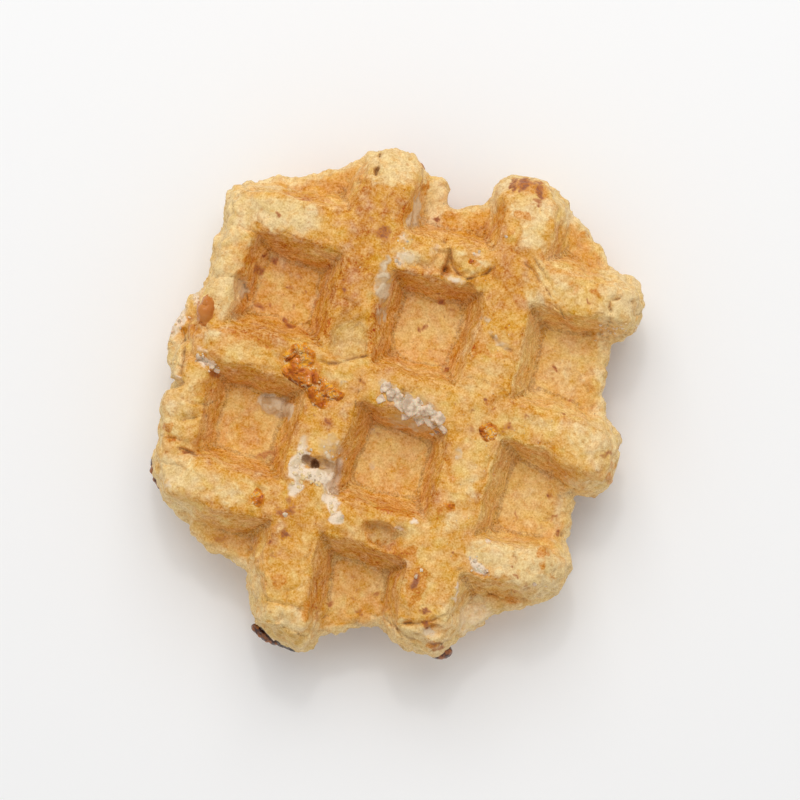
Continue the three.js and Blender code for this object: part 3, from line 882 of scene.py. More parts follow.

# %% White crumb where the crust tore, greyish dough soaked with sugar, the sunken crest's dull yellow, and some painted light and shade
masks["crumb"] = torn * (1.0 + 0.4 * wobble(points, 2.0, 21))
dab("crumb", [
    (-6.0, 33.4, 1.4, 1.6, 0, 0.45),
    (-5.6, 28.6, 2.2, 1.4, 0, 0.45),
    (0.6, 32.6, 1.2, 2.0, 0, 0.35),
    (8.5, 34.2, 1.1, 0.6, 0, 0.7),
    (25.3, -26.0, 2.4, 1.2, -35, 0.9),
    (26.0, -20.4, 0.7, 0.5, 0, 0.8),
    (-37.8, -0.9, 2.4, 1.0, 0, 0.9),
    (-46.2, 6.5, 1.8, 4.5, 0, 0.75),
    (-43.6, 12.0, 1.2, 2.6, 0, 0.6),
    (-39.0, 1.4, 1.4, 1.0, 0, 0.4),
    (-42.3, -4.9, 0.8, 0.9, 0, 0.8),
    (22.4, -31.2, 0.6, 1.4, 0, 0.8),
    (22.4, -33.2, 0.5, 0.7, 0, 0.6),
    (11.0, -20.6, 1.1, 0.6, 0, 0.7),
    (8.4, -22.6, 1.2, 0.8, 0, 0.5),
    (-38.6, -26.6, 1.4, 0.8, 0, 0.5),
    # Painted light: the next dab whitens the lower right rim where shade falls on it.
    (27.5, -36.5, 4.4, 5.4, -30, 0.4),
    (-5.0, 29.6, 2.6, 1.6, 20, 0.6),
    (6.2, 27.6, 2.6, 1.0, 0, 0.55),
])
dab("glass", [
    (-7.6, 22.8, 2.0, 4.4, 8, 1.0),
    (-8.3, 27.4, 0.9, 2.4, 8, 0.9),
    (-6.6, 17.8, 0.9, 2.4, 5, 0.9),
    (-22.4, -5.4, 4.6, 2.5, -8, 1.4),
    (-5.2, 39.6, 1.0, 4.4, 5, 1.0),
    (-5.4, 37.2, 1.6, 1.6, 0, 0.9),
    (5.0, 1.4, 7.6, 3.0, -14, 0.7),
    (-1.2, 4.4, 2.4, 1.2, 0, 0.6),
    (4.4, -2.0, 6.0, 1.5, 0, 0.6),
    (-9.4, -10.6, 3.0, 2.8, 0, 0.7),
    (-8.8, -14.4, 2.6, 2.0, 0, 1.2),
    (-12.6, -14.6, 2.4, 1.8, 0, 0.8),
    (-14.4, -11.2, 1.6, 1.6, 0, 0.6),
    (15.8, -5.6, 1.1, 1.9, 0, 0.6),
    (-0.6, -12.0, 1.2, 1.0, 0, 0.5),
    (-2.0, -5.6, 1.6, 1.4, 0, 0.6),
    (-21.4, -9.6, 1.6, 1.2, 0, 0.4),
    (14.2, 21.6, 1.4, 1.4, 20, 0.6),
    (16.0, 19.6, 1.0, 0.8, 20, 0.5),
    (18.2, 17.8, 2.3, 0.9, -22, 0.7),
    (-34.6, 15.2, 1.4, 2.4, 15, 0.7),
    (-40.8, 21.0, 1.0, 1.0, 0, 0.3),
    # Painted shade: the next dab greys the shaded hollow below the fold at the right column's lower end.
    (19.6, -41.0, 1.9, 1.2, 20, 0.8),
    (3.8, 30.6, 0.7, 1.0, 0, 0.6),
    (-10.2, 2.6, 0.8, 0.9, 0, 0.8),
    (5.4, 27.8, 2.6, 1.2, 0, 0.5),
    (-44.6, -24.4, 1.0, 2.6, 30, 0.5),
])
masks["sunk"] = 0.55 * sunk
# Besides the sunken crest's dull yellow, these dabs lay painted shade on shaded ends, folds and hollows.
dab("sunk", [
    (-11.4, 10.4, 4.6, 5.6, -20, 0.8),
    (-36.0, 25.4, 3.6, 1.6, -10, 0.6),
    (5.4, -25.0, 3.2, 2.4, -8, 0.75),
    (8.6, -24.0, 2.6, 1.0, 25, 0.8),
    (-10.5, -50.0, 6.4, 3.0, -4, 1.2),
    (17.5, -43.6, 5.0, 1.6, 0, 0.6),
    (-39.0, -12.6, 3.0, 1.2, 20, 0.6),
    (-36.6, -8.6, 2.2, 0.9, 0, 0.6),
    (-34.6, -14.6, 1.2, 3.0, 0, 0.5),
    (41.5, 27.0, 3.0, 1.0, 20, 0.5),
    (36.0, -29.0, 4.0, 1.2, 10, 0.5),
])

# %% Painted shade inside the two hollows, darker the deeper they go
# x, y, half width, half length, the height of the crust round it, and how dark the painted shade gets.
SHADED_HOLLOWS = [
    (-10.2, -14.6, 5.4, 2.8, 25.0, 1.0),
    (5.4, -25.2, 5, 3.4, 25.4, 0.2),
]
masks["hollow_shade"] = np.zeros(len(points))
for place_x, place_y, across, along, brim, strength in SHADED_HOLLOWS:
    deep = smooth_step(brim - z, 0, 1.8) * upper * ellipse(x, y, place_x, place_y, across, along)
    masks["hollow_shade"] = np.maximum(masks["hollow_shade"], strength * deep)

# %% Burnt sugar on the lower edges
# x, y, half width, half length and turn, all below the widest place of the rim.
BURNT_EDGES = [
    (-11.0, -51.4, 5.4, 2.0, -12),
    (-42.0, -26.0, 1.8, 4.4, 35),
]
masks["char"] = np.zeros(len(points))
for place_x, place_y, across, along, turn in BURNT_EDGES:
    low_down = smooth_step(z, MIDDLE - 9, MIDDLE - 6) * (1 - smooth_step(z, MIDDLE - 2.4, MIDDLE - 0.4))
    edge = ellipse(x, y, place_x, place_y, across, along, turn, 0, 0.8, 1.1)
    masks["char"] = np.maximum(masks["char"], edge * low_down)

# %% Painted shade in creases, cracks and small hollows, and the walls, from the shape
fine_hollow = hollowness(points, normals, 5)
print("fine hollows: up to", round(fine_hollow.max(), 2), "mm")
# Painted shade along the creases where walls meet floors, with the dark dough dragged into them.
crease_shade_and_drag_mask = smooth_step(grid_hollow, 0.04, 0.16) * smooth_step(inset, 2.0, 6.0)
masks["crease_shade_and_drag"] = crease_shade_and_drag_mask
# Painted shade in the cracks and in small hollows.
masks["crack_shade"] = np.maximum(crack_shade**1.5, 0.45 * smooth_step(fine_hollow, 0.06, 0.2) * upper)
masks["walls"] = walls * (1 - free)
masks["faces_x"] = faces_x
for name, values in masks.items():
    layer = crust_mesh.attributes.new(name, "FLOAT", "POINT")
    layer.data.foreach_set("value", np.clip(values, 0, 1).astype(np.float32))
    print(name, "covers", round(100 * float((values > 0.3).mean())), "% of the points")

# %% [markdown]
# ## Writing a material as arithmetic
#
# A material is a graph of nodes, which is hard to read as a list of links. A small class wraps a node's
# output socket, so that `0.3 * grain + crease` adds the Math nodes by itself. Everything else comes from
# one method, `node`, which sets a node's settings first and then the values or links of its sockets.

# %% The socket wrapper


class Field:
    """The output of a shader node, with arithmetic."""

    def __init__(self, material, socket):
        self.material = material
        self.socket = socket

    def math(self, operation, first, second=0.0):
        settings = {"operation": operation}
        return self.material.node("ShaderNodeMath", settings, {0: first, 1: second})

    def __add__(self, other):
        return self.math("ADD", self, other)

    def __radd__(self, other):
        return self.math("ADD", other, self)

    def __sub__(self, other):
        return self.math("SUBTRACT", self, other)

    def __rsub__(self, other):
        return self.math("SUBTRACT", other, self)

    def __mul__(self, other):
        return self.math("MULTIPLY", self, other)

    def __rmul__(self, other):
        return self.math("MULTIPLY", other, self)

    def lines(self, sharpness):
        """1 along the lines where the value passes 0.5, which in a noise wander like cracks and wrinkles."""
        return (1.0 - sharpness * self.math("ABSOLUTE", self - 0.5)).ramp(0.0, 1.0)

    def ramp(self, start, end):
        """0 below start, 1 above end, and smooth between them."""
        settings = {"interpolation_type": "SMOOTHSTEP"}
        sockets = {"Value": self, "From Min": start, "From Max": end}
        return self.material.node("ShaderNodeMapRange", settings, sockets)


DARKEST = (0.004, 0.004, 0.004)  # no colour gets darker than this, however much is taken from it


class Finish:
    """A material with a Principled shader, written by code."""

    def __init__(self, name, **constants):
        self.data = bpy.data.materials.new(name)
        self.data.use_nodes = True
        self.tree = self.data.node_tree
        self.shader = self.tree.nodes["Principled BSDF"]
        for socket, value in constants.items():
            self.shader.inputs[socket.replace("_", " ")].default_value = value
        here = self.node("ShaderNodeTexCoord", {}, {}, "Object")
        sockets = {"Vector": here, "Scale": 1 / MM}
        self.place = self.node("ShaderNodeVectorMath", {"operation": "SCALE"}, sockets)

    def node(self, kind, settings, sockets, output=0):
        made = self.tree.nodes.new(kind)
        for name, value in settings.items():
            setattr(made, name, value)
        for name, value in sockets.items():
            self.join(made.inputs[name], value)
        return Field(self, made.outputs[output])

    def join(self, socket, value):
        if isinstance(value, Field):
            self.tree.links.new(value.socket, socket)
        else:
            socket.default_value = value

    def feed(self, name, value):
        self.join(self.shader.inputs[name], value)

    def mask(self, name):
        return self.node("ShaderNodeAttribute", {"attribute_name": name}, {}, "Fac")

    def mix(self, factor, first, second):
        """The first colour where the factor is 0, and the second where it is 1."""
        settings = {"data_type": "RGBA", "clamp_factor": True}
        first = first if isinstance(first, Field) else (*first, 1)
        second = second if isinstance(second, Field) else (*second, 1)
        return self.node("ShaderNodeMix", settings, {0: factor, 6: first, 7: second}, 2)

    def shade(self, colour, factor):
        """The colour times a grey factor."""
        grey = self.node("ShaderNodeCombineColor", {}, {0: factor, 1: factor, 2: factor})
        settings = {"data_type": "RGBA", "blend_type": "MULTIPLY"}
        return self.node("ShaderNodeMix", settings, {0: 1.0, 6: colour, 7: grey}, 2)

    def lift(self, colour, amount, tint):
        """The colour with some of a tint added to it, or taken away where the amount is below 0."""
        added = self.node("ShaderNodeVectorMath", {"operation": "SCALE"}, {"Vector": tint, "Scale": amount})
        lifted = self.node("ShaderNodeVectorMath", {"operation": "ADD"}, {0: colour, 1: added})
        return self.node("ShaderNodeVectorMath", {"operation": "MAXIMUM"}, {0: lifted, 1: DARKEST})

    def grain(self, size, detail=2.0, place=None, distortion=0.0):
        """Noise about 0.5, with lumps about `size` millimetres across."""
        sockets = {
            "Vector": place or self.place,
            "Scale": 1 / size,
            "Detail": detail,
            "Distortion": distortion,
        }
        return self.node("ShaderNodeTexNoise", {}, sockets)

    def stretched(self, scale):
        settings = {"operation": "MULTIPLY"}
        return self.node("ShaderNodeVectorMath", settings, {0: self.place, 1: scale})

    def relief(self, height, depth):
        """Feeds the shader's normal with a bump `depth` millimetres deep."""
        sockets = {"Height": height, "Distance": depth * MM, "Strength": 1.0}
        self.feed("Normal", self.node("ShaderNodeBump", {}, sockets))


# %% [markdown]
# ## The crust's own material
#
# Baked dough isn't one colour. Where the iron touched it briefly it is yellow; longer contact makes it
# golden and then toasted, and none leaves it cream. Drag streaks run along the walls, because the iron
# was pulled off them. The same grains that tint the dough also raise it, as they do on a real crust, and
# they break every mask's edge. The raised grains are also painted lighter and the low ones darker, as
# painted light and shade, and the creases, cracks and hollows get painted shade.

# %% Colours of the crust
YELLOW = (0.85, 0.565, 0.203)
GOLD = (0.725, 0.353, 0.073)
TOASTED = (0.56, 0.215, 0.038)
RUSTY = (0.47, 0.155, 0.035)
CREAM = (0.835, 0.61, 0.288)
AMBER = (0.64, 0.235, 0.009)
SCORCHED = (0.27, 0.07, 0.018)
CRUMB_WHITE = (0.90, 0.72, 0.53)
# painted shade inside the hollows
HOLLOW_SHADE = (0.38, 0.19, 0.085)
GLASSY = (0.74, 0.58, 0.38)
GLASSY_DARK = (0.56, 0.37, 0.20)
# the sunken crest's dull yellow, also laid as painted shade
DULL_YELLOW_AND_SHADE = (0.72, 0.47, 0.165)
# the dark dough of the drag streaks, which also paints the creases' shade
DRAG_STREAK_AND_CREASE_SHADE = (0.30, 0.14, 0.045)
# painted shade inside the cracks and small hollows
CRACK_SHADE = (0.38, 0.18, 0.06)
CHARRED = (0.05, 0.016, 0.012)
YELLOW_OR_PINK = (0.05, 0.08, 0.14)  # what its broad tones add and take
GRAIN_AND_RELIEF_SHADE = (0.70, 0.70, 0.42)  # raised grains painted lighter and whiter, low ones darker and browner: painted light and shade

# %% The crust's material
baked = Finish(
    "baked_dough",
    Specular_IOR_Level=0.32,
    Coat_Roughness=0.12,
)
blotch = baked.grain(6.0, 2.0)
mottle = baked.grain(2.3, 1.0, distortion=0.5)
grit = baked.grain(0.85, 2.0)
fine = baked.grain(0.36, 2.0)
crumbly = baked.grain(0.6, 2.0, distortion=1.2)
along_x = baked.grain(1.3, 1.0, baked.stretched((0.16, 1.0, 1.0)), 0.25)
along_y = baked.grain(1.3, 1.0, baked.stretched((1.0, 0.16, 1.0)), 0.25)
faces_x_mask = baked.mask("faces_x")
streaks = along_x * (1 - faces_x_mask) + along_y * faces_x_mask
wall = baked.mask("walls")
bake = baked.mask("bake")
uneven_bake = bake + 1.6 * (blotch - 0.5) + 1.9 * (mottle - 0.5) + 0.35 * wall * (streaks - 0.5)
untouched = baked.mask("pale") + 1.0 * (blotch - 0.5) + 1.2 * (mottle - 0.5) + 0.2 * (grit - 0.5)

colour = baked.mix(uneven_bake.ramp(-0.4, 0.6), YELLOW, GOLD)
colour = baked.mix(uneven_bake.ramp(0.5, 1.15), colour, TOASTED)
colour = baked.mix(0.9 * untouched.ramp(0.2, 0.8), colour, CREAM)
rough_mask = 1.2 * (mottle - 0.5) + 0.8 * (grit - 0.5)
# The sunken crest's dull yellow, and painted shade where the other sunk dabs lie.
colour = baked.mix(0.8 * (baked.mask("sunk") * (1 + rough_mask)).ramp(0.2, 0.8), colour, DULL_YELLOW_AND_SHADE)
veins = baked.grain(5.0, 2.0, distortion=1.4).lines(8.0) * mottle.ramp(0.44, 0.6) * untouched.ramp(0.1, 0.6)
colour = baked.mix(0.5 * veins, colour, GOLD)
tone = baked.grain(3.0, 0.0, distortion=0.6)
colour = baked.lift(colour, tone - 0.5, YELLOW_OR_PINK)
colour = baked.mix(0.85 * (baked.mask("amber") * (1 + 1.6 * rough_mask)).ramp(0.2, 0.8), colour, AMBER)
glassy = baked.mix(mottle.ramp(0.42, 0.56), GLASSY_DARK, GLASSY)
colour = baked.mix(0.9 * (baked.mask("glass") * (1 + 1.4 * rough_mask)).ramp(0.25, 0.95), colour, glassy)
crumb = baked.mask("crumb") * (1 + 0.8 * (mottle - 0.5) + 1.4 * (grit - 0.5))
colour = baked.mix(crumb.ramp(0.1, 0.85), colour, baked.mix(mottle.ramp(0.36, 0.5), GLASSY, CRUMB_WHITE))

# %% Its specks and streaks, and painted shade along its creases and in its cracks and hollows
flecks = baked.grain(1.1, 2.0, distortion=0.8).ramp(0.655, 0.72) * blotch.ramp(0.42, 0.6)
speckled = 1 - (baked.mask("glass") + baked.mask("crumb")).ramp(0.1, 0.7)
dots = baked.grain(0.5, 1.0).ramp(0.70, 0.76) * (0.35 + 0.65 * mottle.ramp(0.4, 0.6)) * speckled
colour = baked.mix(0.5 * flecks, colour, TOASTED)
colour = baked.mix(0.5 * dots, colour, SCORCHED)
colour = baked.mix(0.25 * wall * streaks.ramp(0.56, 0.74) * mottle.ramp(0.4, 0.6), colour, DRAG_STREAK_AND_CREASE_SHADE)
# Painted shade: a broken dark line along the creases, with the dark dough dragged into them.
crease_shade_and_drag_line = baked.mask("crease_shade_and_drag").ramp(0.5, 0.95) * (0.55 + 2.4 * (crumbly - 0.5)).ramp(0.0, 0.9)
colour = baked.mix(0.5 * crease_shade_and_drag_line, colour, DRAG_STREAK_AND_CREASE_SHADE)
# Painted shade inside the steam hole and the lower row's sunken place: the deeper, the darker.
colour = baked.mix(baked.mask("hollow_shade"), colour, HOLLOW_SHADE)
scorch = baked.mask("scorch") * (1 + 2.2 * (grit - 0.5) + 1.6 * (fine - 0.5))
colour = baked.mix(0.85 * scorch.ramp(0.1, 0.75), colour, RUSTY)
colour = baked.mix(0.85 * scorch.ramp(0.6, 1.1), colour, SCORCHED)
# Painted shade in the cracks and small hollows.
crack_shaded = (baked.mask("crack_shade") * (1 + 1.2 * (grit - 0.5))).ramp(0.15, 0.9)
colour = baked.mix(0.8 * crack_shaded * (0.2 + 0.8 * speckled), colour, CRACK_SHADE)
colour = baked.mix((baked.mask("char") + 0.5 * (mottle - 0.5)).ramp(0.25, 0.6), colour, CHARRED)
speckle = baked.grain(1.2, 3.0, distortion=0.3)
# The dough's own speckle, and painted light and shade of the fine relief: raised grains lighter, low ones
# darker.
grain_and_relief_shade = 0.8 * (fine - 0.5) + 0.4 * (grit - 0.5) + 0.45 * (speckle - 0.5) + 0.35 * (mottle - 0.5)
grain_and_relief_shade = grain_and_relief_shade + 0.35 * wall * (streaks - 0.5)
grain_and_relief_shade = grain_and_relief_shade * (0.35 + 0.65 * speckled) * (1 + 0.4 * wall)
grain_and_relief_shade = grain_and_relief_shade * (1 - 0.8 * crack_shaded) * (1 - 0.7 * scorch.ramp(0.1, 0.75))
colour = baked.lift(colour, grain_and_relief_shade, GRAIN_AND_RELIEF_SHADE)
baked.feed("Base Color", colour)
glossy = baked.mask("amber") + 0.8 * baked.mask("glass") + baked.mask("char")
sparkle = baked.grain(0.6, 1.0).ramp(0.58, 0.70)
baked.feed("Coat Weight", 0.25 * glossy.ramp(0.2, 1.0) + 0.25 * sparkle)
baked.feed("Roughness", 0.66 - 0.2 * glossy.ramp(0.2, 1.0) + 0.3 * (mottle - 0.5))
raised = 0.1 * fine + 0.25 * grit + 0.7 * mottle + 0.15 * speckle + 0.1 * streaks * wall
baked.relief(raised + 0.15 * crumbly * baked.mask("crumb"), 0.6)
crust_mesh.materials.clear()
crust_mesh.materials.append(baked.data)
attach(crust, "root")
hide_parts("waffle")
print("the crust's material has", len(baked.tree.nodes), "nodes")

# %% [markdown]
# ## Melted sugar
#
# Pearls of sugar near the iron melt into caramel, which wrinkles as it cools and catches the light in
# thin lines; the material paints those lines on as highlights too, and paints shade on the sides that
# face away from the key light. It is modelled as a film: the crust's faces under it are copied, cut
# finer and lifted off along their normals, and the film's edge dips below the crust so that it ends in
# a thin ragged line.

# %% Copying the crust's faces into films
FILM_LIFT = 0.35
FILM_EDGE = 0.14
WRINKLE_WIDTH = 0.14
# x, y, half width, half length, turn and how far the film stands up.
FILMS = [
    (-19.6, 5.0, 2.9, 2.3, 10, 1.0),
    (-18.6, 1.9, 3.8, 2.2, -5, 1.0),
    (-14.2, -0.6, 2.3, 2.6, 20, 1.0),
    (-11.4, -0.4, 2.4, 1.2, 25, 0.9),
    (-13.6, -2.9, 1.8, 0.9, 0, 0.8),
    (-20.4, -24.2, 1.3, 2.1, 10, 0.9),
    (20.4, 0.4, 1.4, 1.8, 10, 0.8),
    (8.4, 31.9, 1.0, 0.7, 0, 0.6),
    (17.0, -15.9, 1.3, 0.7, 20, 0.5),
    (-40.7, 9.0, 1.5, 2.8, 8, 0.9),
]
cover = np.zeros(len(points))
for place_x, place_y, across, along, turn, strength in FILMS:
    cover = np.maximum(cover, strength * patch(place_x, place_y, across, along, turn, 0.5, 1.35) * upper)

work = bmesh.new()
work.from_mesh(crust_mesh)
thickness = work.verts.layers.float.new("cover")
for vert, value in zip(work.verts, cover.tolist()):
    vert[thickness] = value
bare = [face for face in work.faces if max(vert[thickness] for vert in face.verts) < 0.02]
bmesh.ops.delete(work, geom=bare, context="FACES")
bmesh.ops.subdivide_edges(work, edges=work.edges[:], cuts=2, use_grid_fill=True)
bmesh.ops.triangulate(work, faces=[face for face in work.faces if len(face.verts) > 4])
work.normal_update()
film_mesh = bpy.data.meshes.new("caramel_film")
work.to_mesh(film_mesh)
work.free()

film_points, film_normals = read_points(film_mesh), read_normals(film_mesh)
film_cover = np.empty(len(film_points), np.float32)
film_mesh.attributes["cover"].data.foreach_get("value", film_cover)
# Thin ridges run where a noise passes 0, as the skin on cooling sugar wrinkles.
wrinkles = np.clip(1 - np.abs(wobble(film_points, 1.7, 31, 2)) / WRINKLE_WIDTH, 0, 1)
wrinkles = wrinkles + 0.8 * billow(film_points, 2.4, 32)
wrinkling = smooth_step(film_points[:, 0], -38, -34)  # the blister at the left end stayed smooth
wrinkles *= wrinkling
dipping = FILM_EDGE * (1 - smooth_step(film_cover, 0, 0.25))
height = smooth_step(film_cover, 0.08, 0.85) * (FILM_LIFT + 0.25 * wrinkles) - dipping
film_points += film_normals * height[:, None]
write_inside(film_mesh, film_points)
# The film's sides that face the lower edge, away from the key light, get painted shade in a darker caramel.
facing_down = np.clip(-1.6 * read_normals(film_mesh)[:, 1], 0, 1)
for name, values in (("facing_away_shade", facing_down), ("wrinkling", wrinkling)):
    film_mesh.attributes.new(name, "FLOAT", "POINT").data.foreach_set("value", values.astype(np.float32))
for name in masks:
    film_mesh.attributes.remove(film_mesh.attributes[name])
shade_smooth(film_mesh)
film = new_piece("caramel_film", film_mesh)
print("the films have", count_triangles(film_mesh), "triangles")

# %% Caramel
CARAMEL_SHADE = (0.26, 0.045, 0.002)
CARAMEL_DEEP = (0.46, 0.095, 0.002)
CARAMEL = (0.68, 0.20, 0.004)
CARAMEL_LIGHT = (0.84, 0.37, 0.02)
CARAMEL_GLINT = (0.98, 0.76, 0.42)
CARAMEL_SKIN = (0.57, 0.21, 0.044)
syrup = Finish("caramel", IOR=1.45, Specular_IOR_Level=0.15, Coat_Weight=0.22, Coat_Roughness=0.03)
wide = syrup.grain(2.4, 3.0, distortion=0.5)
small = syrup.grain(0.7, 2.0, distortion=0.8)
tint = syrup.mix((wide + 0.15 * small).ramp(0.42, 0.60), CARAMEL_DEEP, CARAMEL)
tint = syrup.mix((wide + 0.2 * small).ramp(0.64, 0.74), tint, CARAMEL_LIGHT)
thin = 1 - syrup.mask("cover").ramp(0.05, 0.5)
tint = syrup.mix(0.8 * thin, tint, CARAMEL_LIGHT)
# Painted shade on the sides that face away from the key light.
tint = syrup.mix(syrup.mask("facing_away_shade") * small.ramp(0.3, 0.5), tint, CARAMEL_SHADE)
skin = syrup.mix(0.35 * wide.ramp(0.42, 0.66), CARAMEL_SKIN, CARAMEL_DEEP)
tint = syrup.mix(syrup.mask("wrinkling"), skin, tint)
wrinkled = syrup.grain(1.5, 2.0, distortion=1.6).lines(18.0) * syrup.mask("wrinkling")
# Painted highlights: bright lines along the wrinkles.
tint = syrup.mix(0.7 * wrinkled * wide.ramp(0.48, 0.58), tint, CARAMEL_GLINT)
syrup.feed("Base Color", tint)
syrup.feed("Roughness", 0.16 + 0.2 * small)
syrup.relief(0.25 * small + 0.6 * wrinkled, 0.16)
film_mesh.materials.clear()
film_mesh.materials.append(syrup.data)
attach(film, "root")

# %% [markdown]
# ## Grains of sugar, crumbs and drops
#
# Pearls of sugar that didn't melt show as blocky whitish grains, half sunk in the crust. Each is a small
# sphere chopped by a few random planes. A tree of the crust's faces tells where the surface is under any
# place.

# %% Finding the surface
ground_tree = BVHTree.FromPolygons(
    [Vector(place) for place in (points * MM).tolist()],
    [tuple(face.vertices) for face in crust_mesh.polygons],
)
DROP_FROM = 40 * MM


def surface_at(place_x, place_y):
    """The crust's upper surface at a place on the plan: where it is, and its normal."""
    start = Vector((place_x * MM, place_y * MM, DROP_FROM))
    where, normal, _face, _distance = ground_tree.ray_cast(start, Vector((0, 0, -1)))
    return where, normal


def random_direction():
    return Vector([random.gauss(0, 1) for _ in range(3)]).normalized()


def grain(work, where, sizes, facets, detail):
    """Adds one chopped, turned and stretched grain to a bmesh."""
    made = bmesh.ops.create_icosphere(work, subdivisions=detail, radius=1)["verts"]
    cuts = [Vector(axis) for axis in ((1, 0, 0), (-1, 0, 0), (0, 1, 0), (0, -1, 0), (0, 0, 1))]
    cuts += [random_direction() for _ in range(facets)]
    for direction in cuts:
        limit = random.uniform(0.5, 0.8)
        for vert in made:
            over = vert.co.dot(direction) - limit
            if over > 0:
                vert.co -= direction * over
    spin = Matrix.Rotation(random.uniform(0, math.tau), 3, "Z")
    tilt = Matrix.Rotation(random.uniform(-0.5, 0.5), 3, "X")
    bmesh.ops.scale(work, vec=[side * MM for side in sizes], verts=made)
    bmesh.ops.rotate(work, cent=(0, 0, 0), matrix=spin @ tilt, verts=made)
    bmesh.ops.translate(work, vec=where, verts=made)


def scatter(work, count, route, spread_out, smallest, largest, facets, detail, sunk_in):
    """Strews grains along a route, more of them near it."""
    placed = 0
    for _ in range(count):
        step = random.randrange(max(1, len(route) - 1))
        (x0, y0), (x1, y1) = route[step], route[min(step + 1, len(route) - 1)]
        t = random.random()
        place_x = x0 + t * (x1 - x0) + random.gauss(0, spread_out)
        place_y = y0 + t * (y1 - y0) + random.gauss(0, spread_out)
        where, normal = surface_at(place_x, place_y)
        if where is None or where.z < MIDDLE * MM:
            continue
        size = random.uniform(smallest, largest)
        sizes = [size * random.uniform(0.75, 1.2) for _ in range(3)]
        grain(work, where + normal * (size * (0.5 - sunk_in) * MM), sizes, facets, detail)
        placed += 1
    return placed


# %% Sugar
# x, y and half width of the large fused grains.
PEARLS = [
    (-1.6, 3.8, 1.1), (-0.4, 3.0, 1.2), (-2.1, 1.2, 0.9), (0.8, 2.2, 1.5), (2.2, 1.0, 1.1),
    (3.2, 2.6, 1.1), (4.0, 1.2, 1.6), (3.6, -0.8, 1.3), (5.4, 2.7, 0.9), (5.9, 0.8, 1.4),
    (6.6, -0.9, 1.3), (7.6, 1.4, 1.0), (8.2, -0.4, 1.2), (8.9, 0.9, 0.8), (10.0, 0.5, 1.3),
    (9.4, -1.2, 1.1), (10.9, -0.9, 1.4), (11.8, -1.6, 1.0), (24.4, -25.0, 0.5), (25.8, -26.3, 0.55),
    (26.7, -27.0, 0.4), (25.8, -20.4, 0.4), (37.0, -26.4, 0.5), (14.6, -29.6, 0.45), (14.0, -31.2, 0.5),
    (-38.2, -0.6, 1.1), (-36.6, -1.2, 1.0), (-35.4, -1.6, 0.8), (-39.4, -0.2, 0.7), (8.4, 34.0, 0.5),
    (9.2, 34.5, 0.4), (-6.2, 28.5, 0.5), (-5.4, 28.2, 0.4), (13.6, 38.9, 0.4), (-14.5, -26.2, 0.6),
    (-3.2, -23.6, 0.5), (39.2, -26.2, 0.3),
]
PEARL_SIDES = ((1.2, 1.6), (1.2, 1.6), (0.7, 0.9))  # least and most along x, y and z
FUSE = 0.12 * MM
work = bmesh.new()
for place_x, place_y, size in PEARLS:
    where, normal = surface_at(place_x, place_y)
    sizes = [size * random.uniform(least, most) for least, most in PEARL_SIDES]
    grain(work, where - normal * (0.3 * size * MM), sizes, 4, 3)
strewn = scatter(work, 26, [(-1.0, 3.4), (3.4, 1.2), (7.4, 0.0), (11.0, -1.2)], 1.0, 0.7, 1.1, 3, 3, 0.8)
sugar_mesh = bpy.data.meshes.new("sugar_grains")
work.to_mesh(sugar_mesh)
work.free()
sugar = new_piece("sugar_grains", sugar_mesh)
# Wet heat fused the grains where they touch, as a remesh does.
add_modifier(sugar, "REMESH", mode="VOXEL", voxel_size=FUSE, adaptivity=0)
add_modifier(sugar, "SMOOTH", factor=0.5, iterations=3)
work_in_modifiers(sugar)
sugar_mesh = sugar.data
shade_smooth(sugar_mesh)
# The small grains lie loose among them, so they are added after the fusing.
# Each is how many, their route, how far they stray, least and most size, planes, detail and depth.
LOOSE_SUGAR = [
    (14, [(-1.5, 3.6), (3.0, 1.6), (8.0, 0.4), (11.0, -1.0)], 1.2, 0.4, 0.7, 2, 2, 0.7),
    (10, [(-14.5, -13.0), (-10.0, -10.5), (-6.5, -13.0)], 1.0, 0.2, 0.4, 2, 2, 0.8),
    (14, [(-13.5, -20.0), (-10.0, -17.0), (-6.0, -20.0), (-4.2, -23.6)], 0.9, 0.2, 0.5, 2, 2, 0.8),
    (12, [(-46.2, 10.0), (-46.4, 3.0)], 0.8, 0.2, 0.5, 2, 2, 0.6),
    (16, [(-39.5, -0.4), (-35.4, -1.6)], 0.6, 0.2, 0.4, 2, 2, 0.6),
    (22, [(24.0, -24.8), (25.6, -26.2), (27.0, -27.2)], 0.6, 0.15, 0.4, 2, 2, 0.6),
    (8, [(-7.0, 30.0), (-4.6, 33.4), (-5.0, 28.4)], 0.9, 0.2, 0.4, 2, 1, 0.8),
    (90, [(-30.0, 30.0), (-12.0, 36.0), (16.0, 30.0), (17.0, -5.0), (30.0, 3.0), (17.0, -24.0)],
     5.0, 0.08, 0.16, 2, 1, 0.4),
]
work = bmesh.new()
work.from_mesh(sugar_mesh)
for row in LOOSE_SUGAR:
    strewn += scatter(work, *row)
work.to_mesh(sugar_mesh)
work.free()
write_inside(sugar_mesh, read_points(sugar_mesh))
print(len(PEARLS), "large grains and", strewn, "small ones:", count_triangles(sugar_mesh), "triangles")

SUGAR_WHITE = (0.83, 0.645, 0.46)
SUGAR_GREY = (0.52, 0.36, 0.23)
crystal = Finish("pearl_sugar", IOR=1.45, Subsurface_Weight=0.2, Subsurface_Scale=1.0 * MM)
cloud = crystal.grain(1.3, 3.0)
crystal.feed("Base Color", crystal.mix(cloud.ramp(0.38, 0.62), SUGAR_GREY, SUGAR_WHITE))
crystal.feed("Roughness", 0.28 + 0.3 * cloud)
crystal.relief(crystal.grain(0.4), 0.12)
sugar_mesh.materials.append(crystal.data)
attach(sugar, "root")

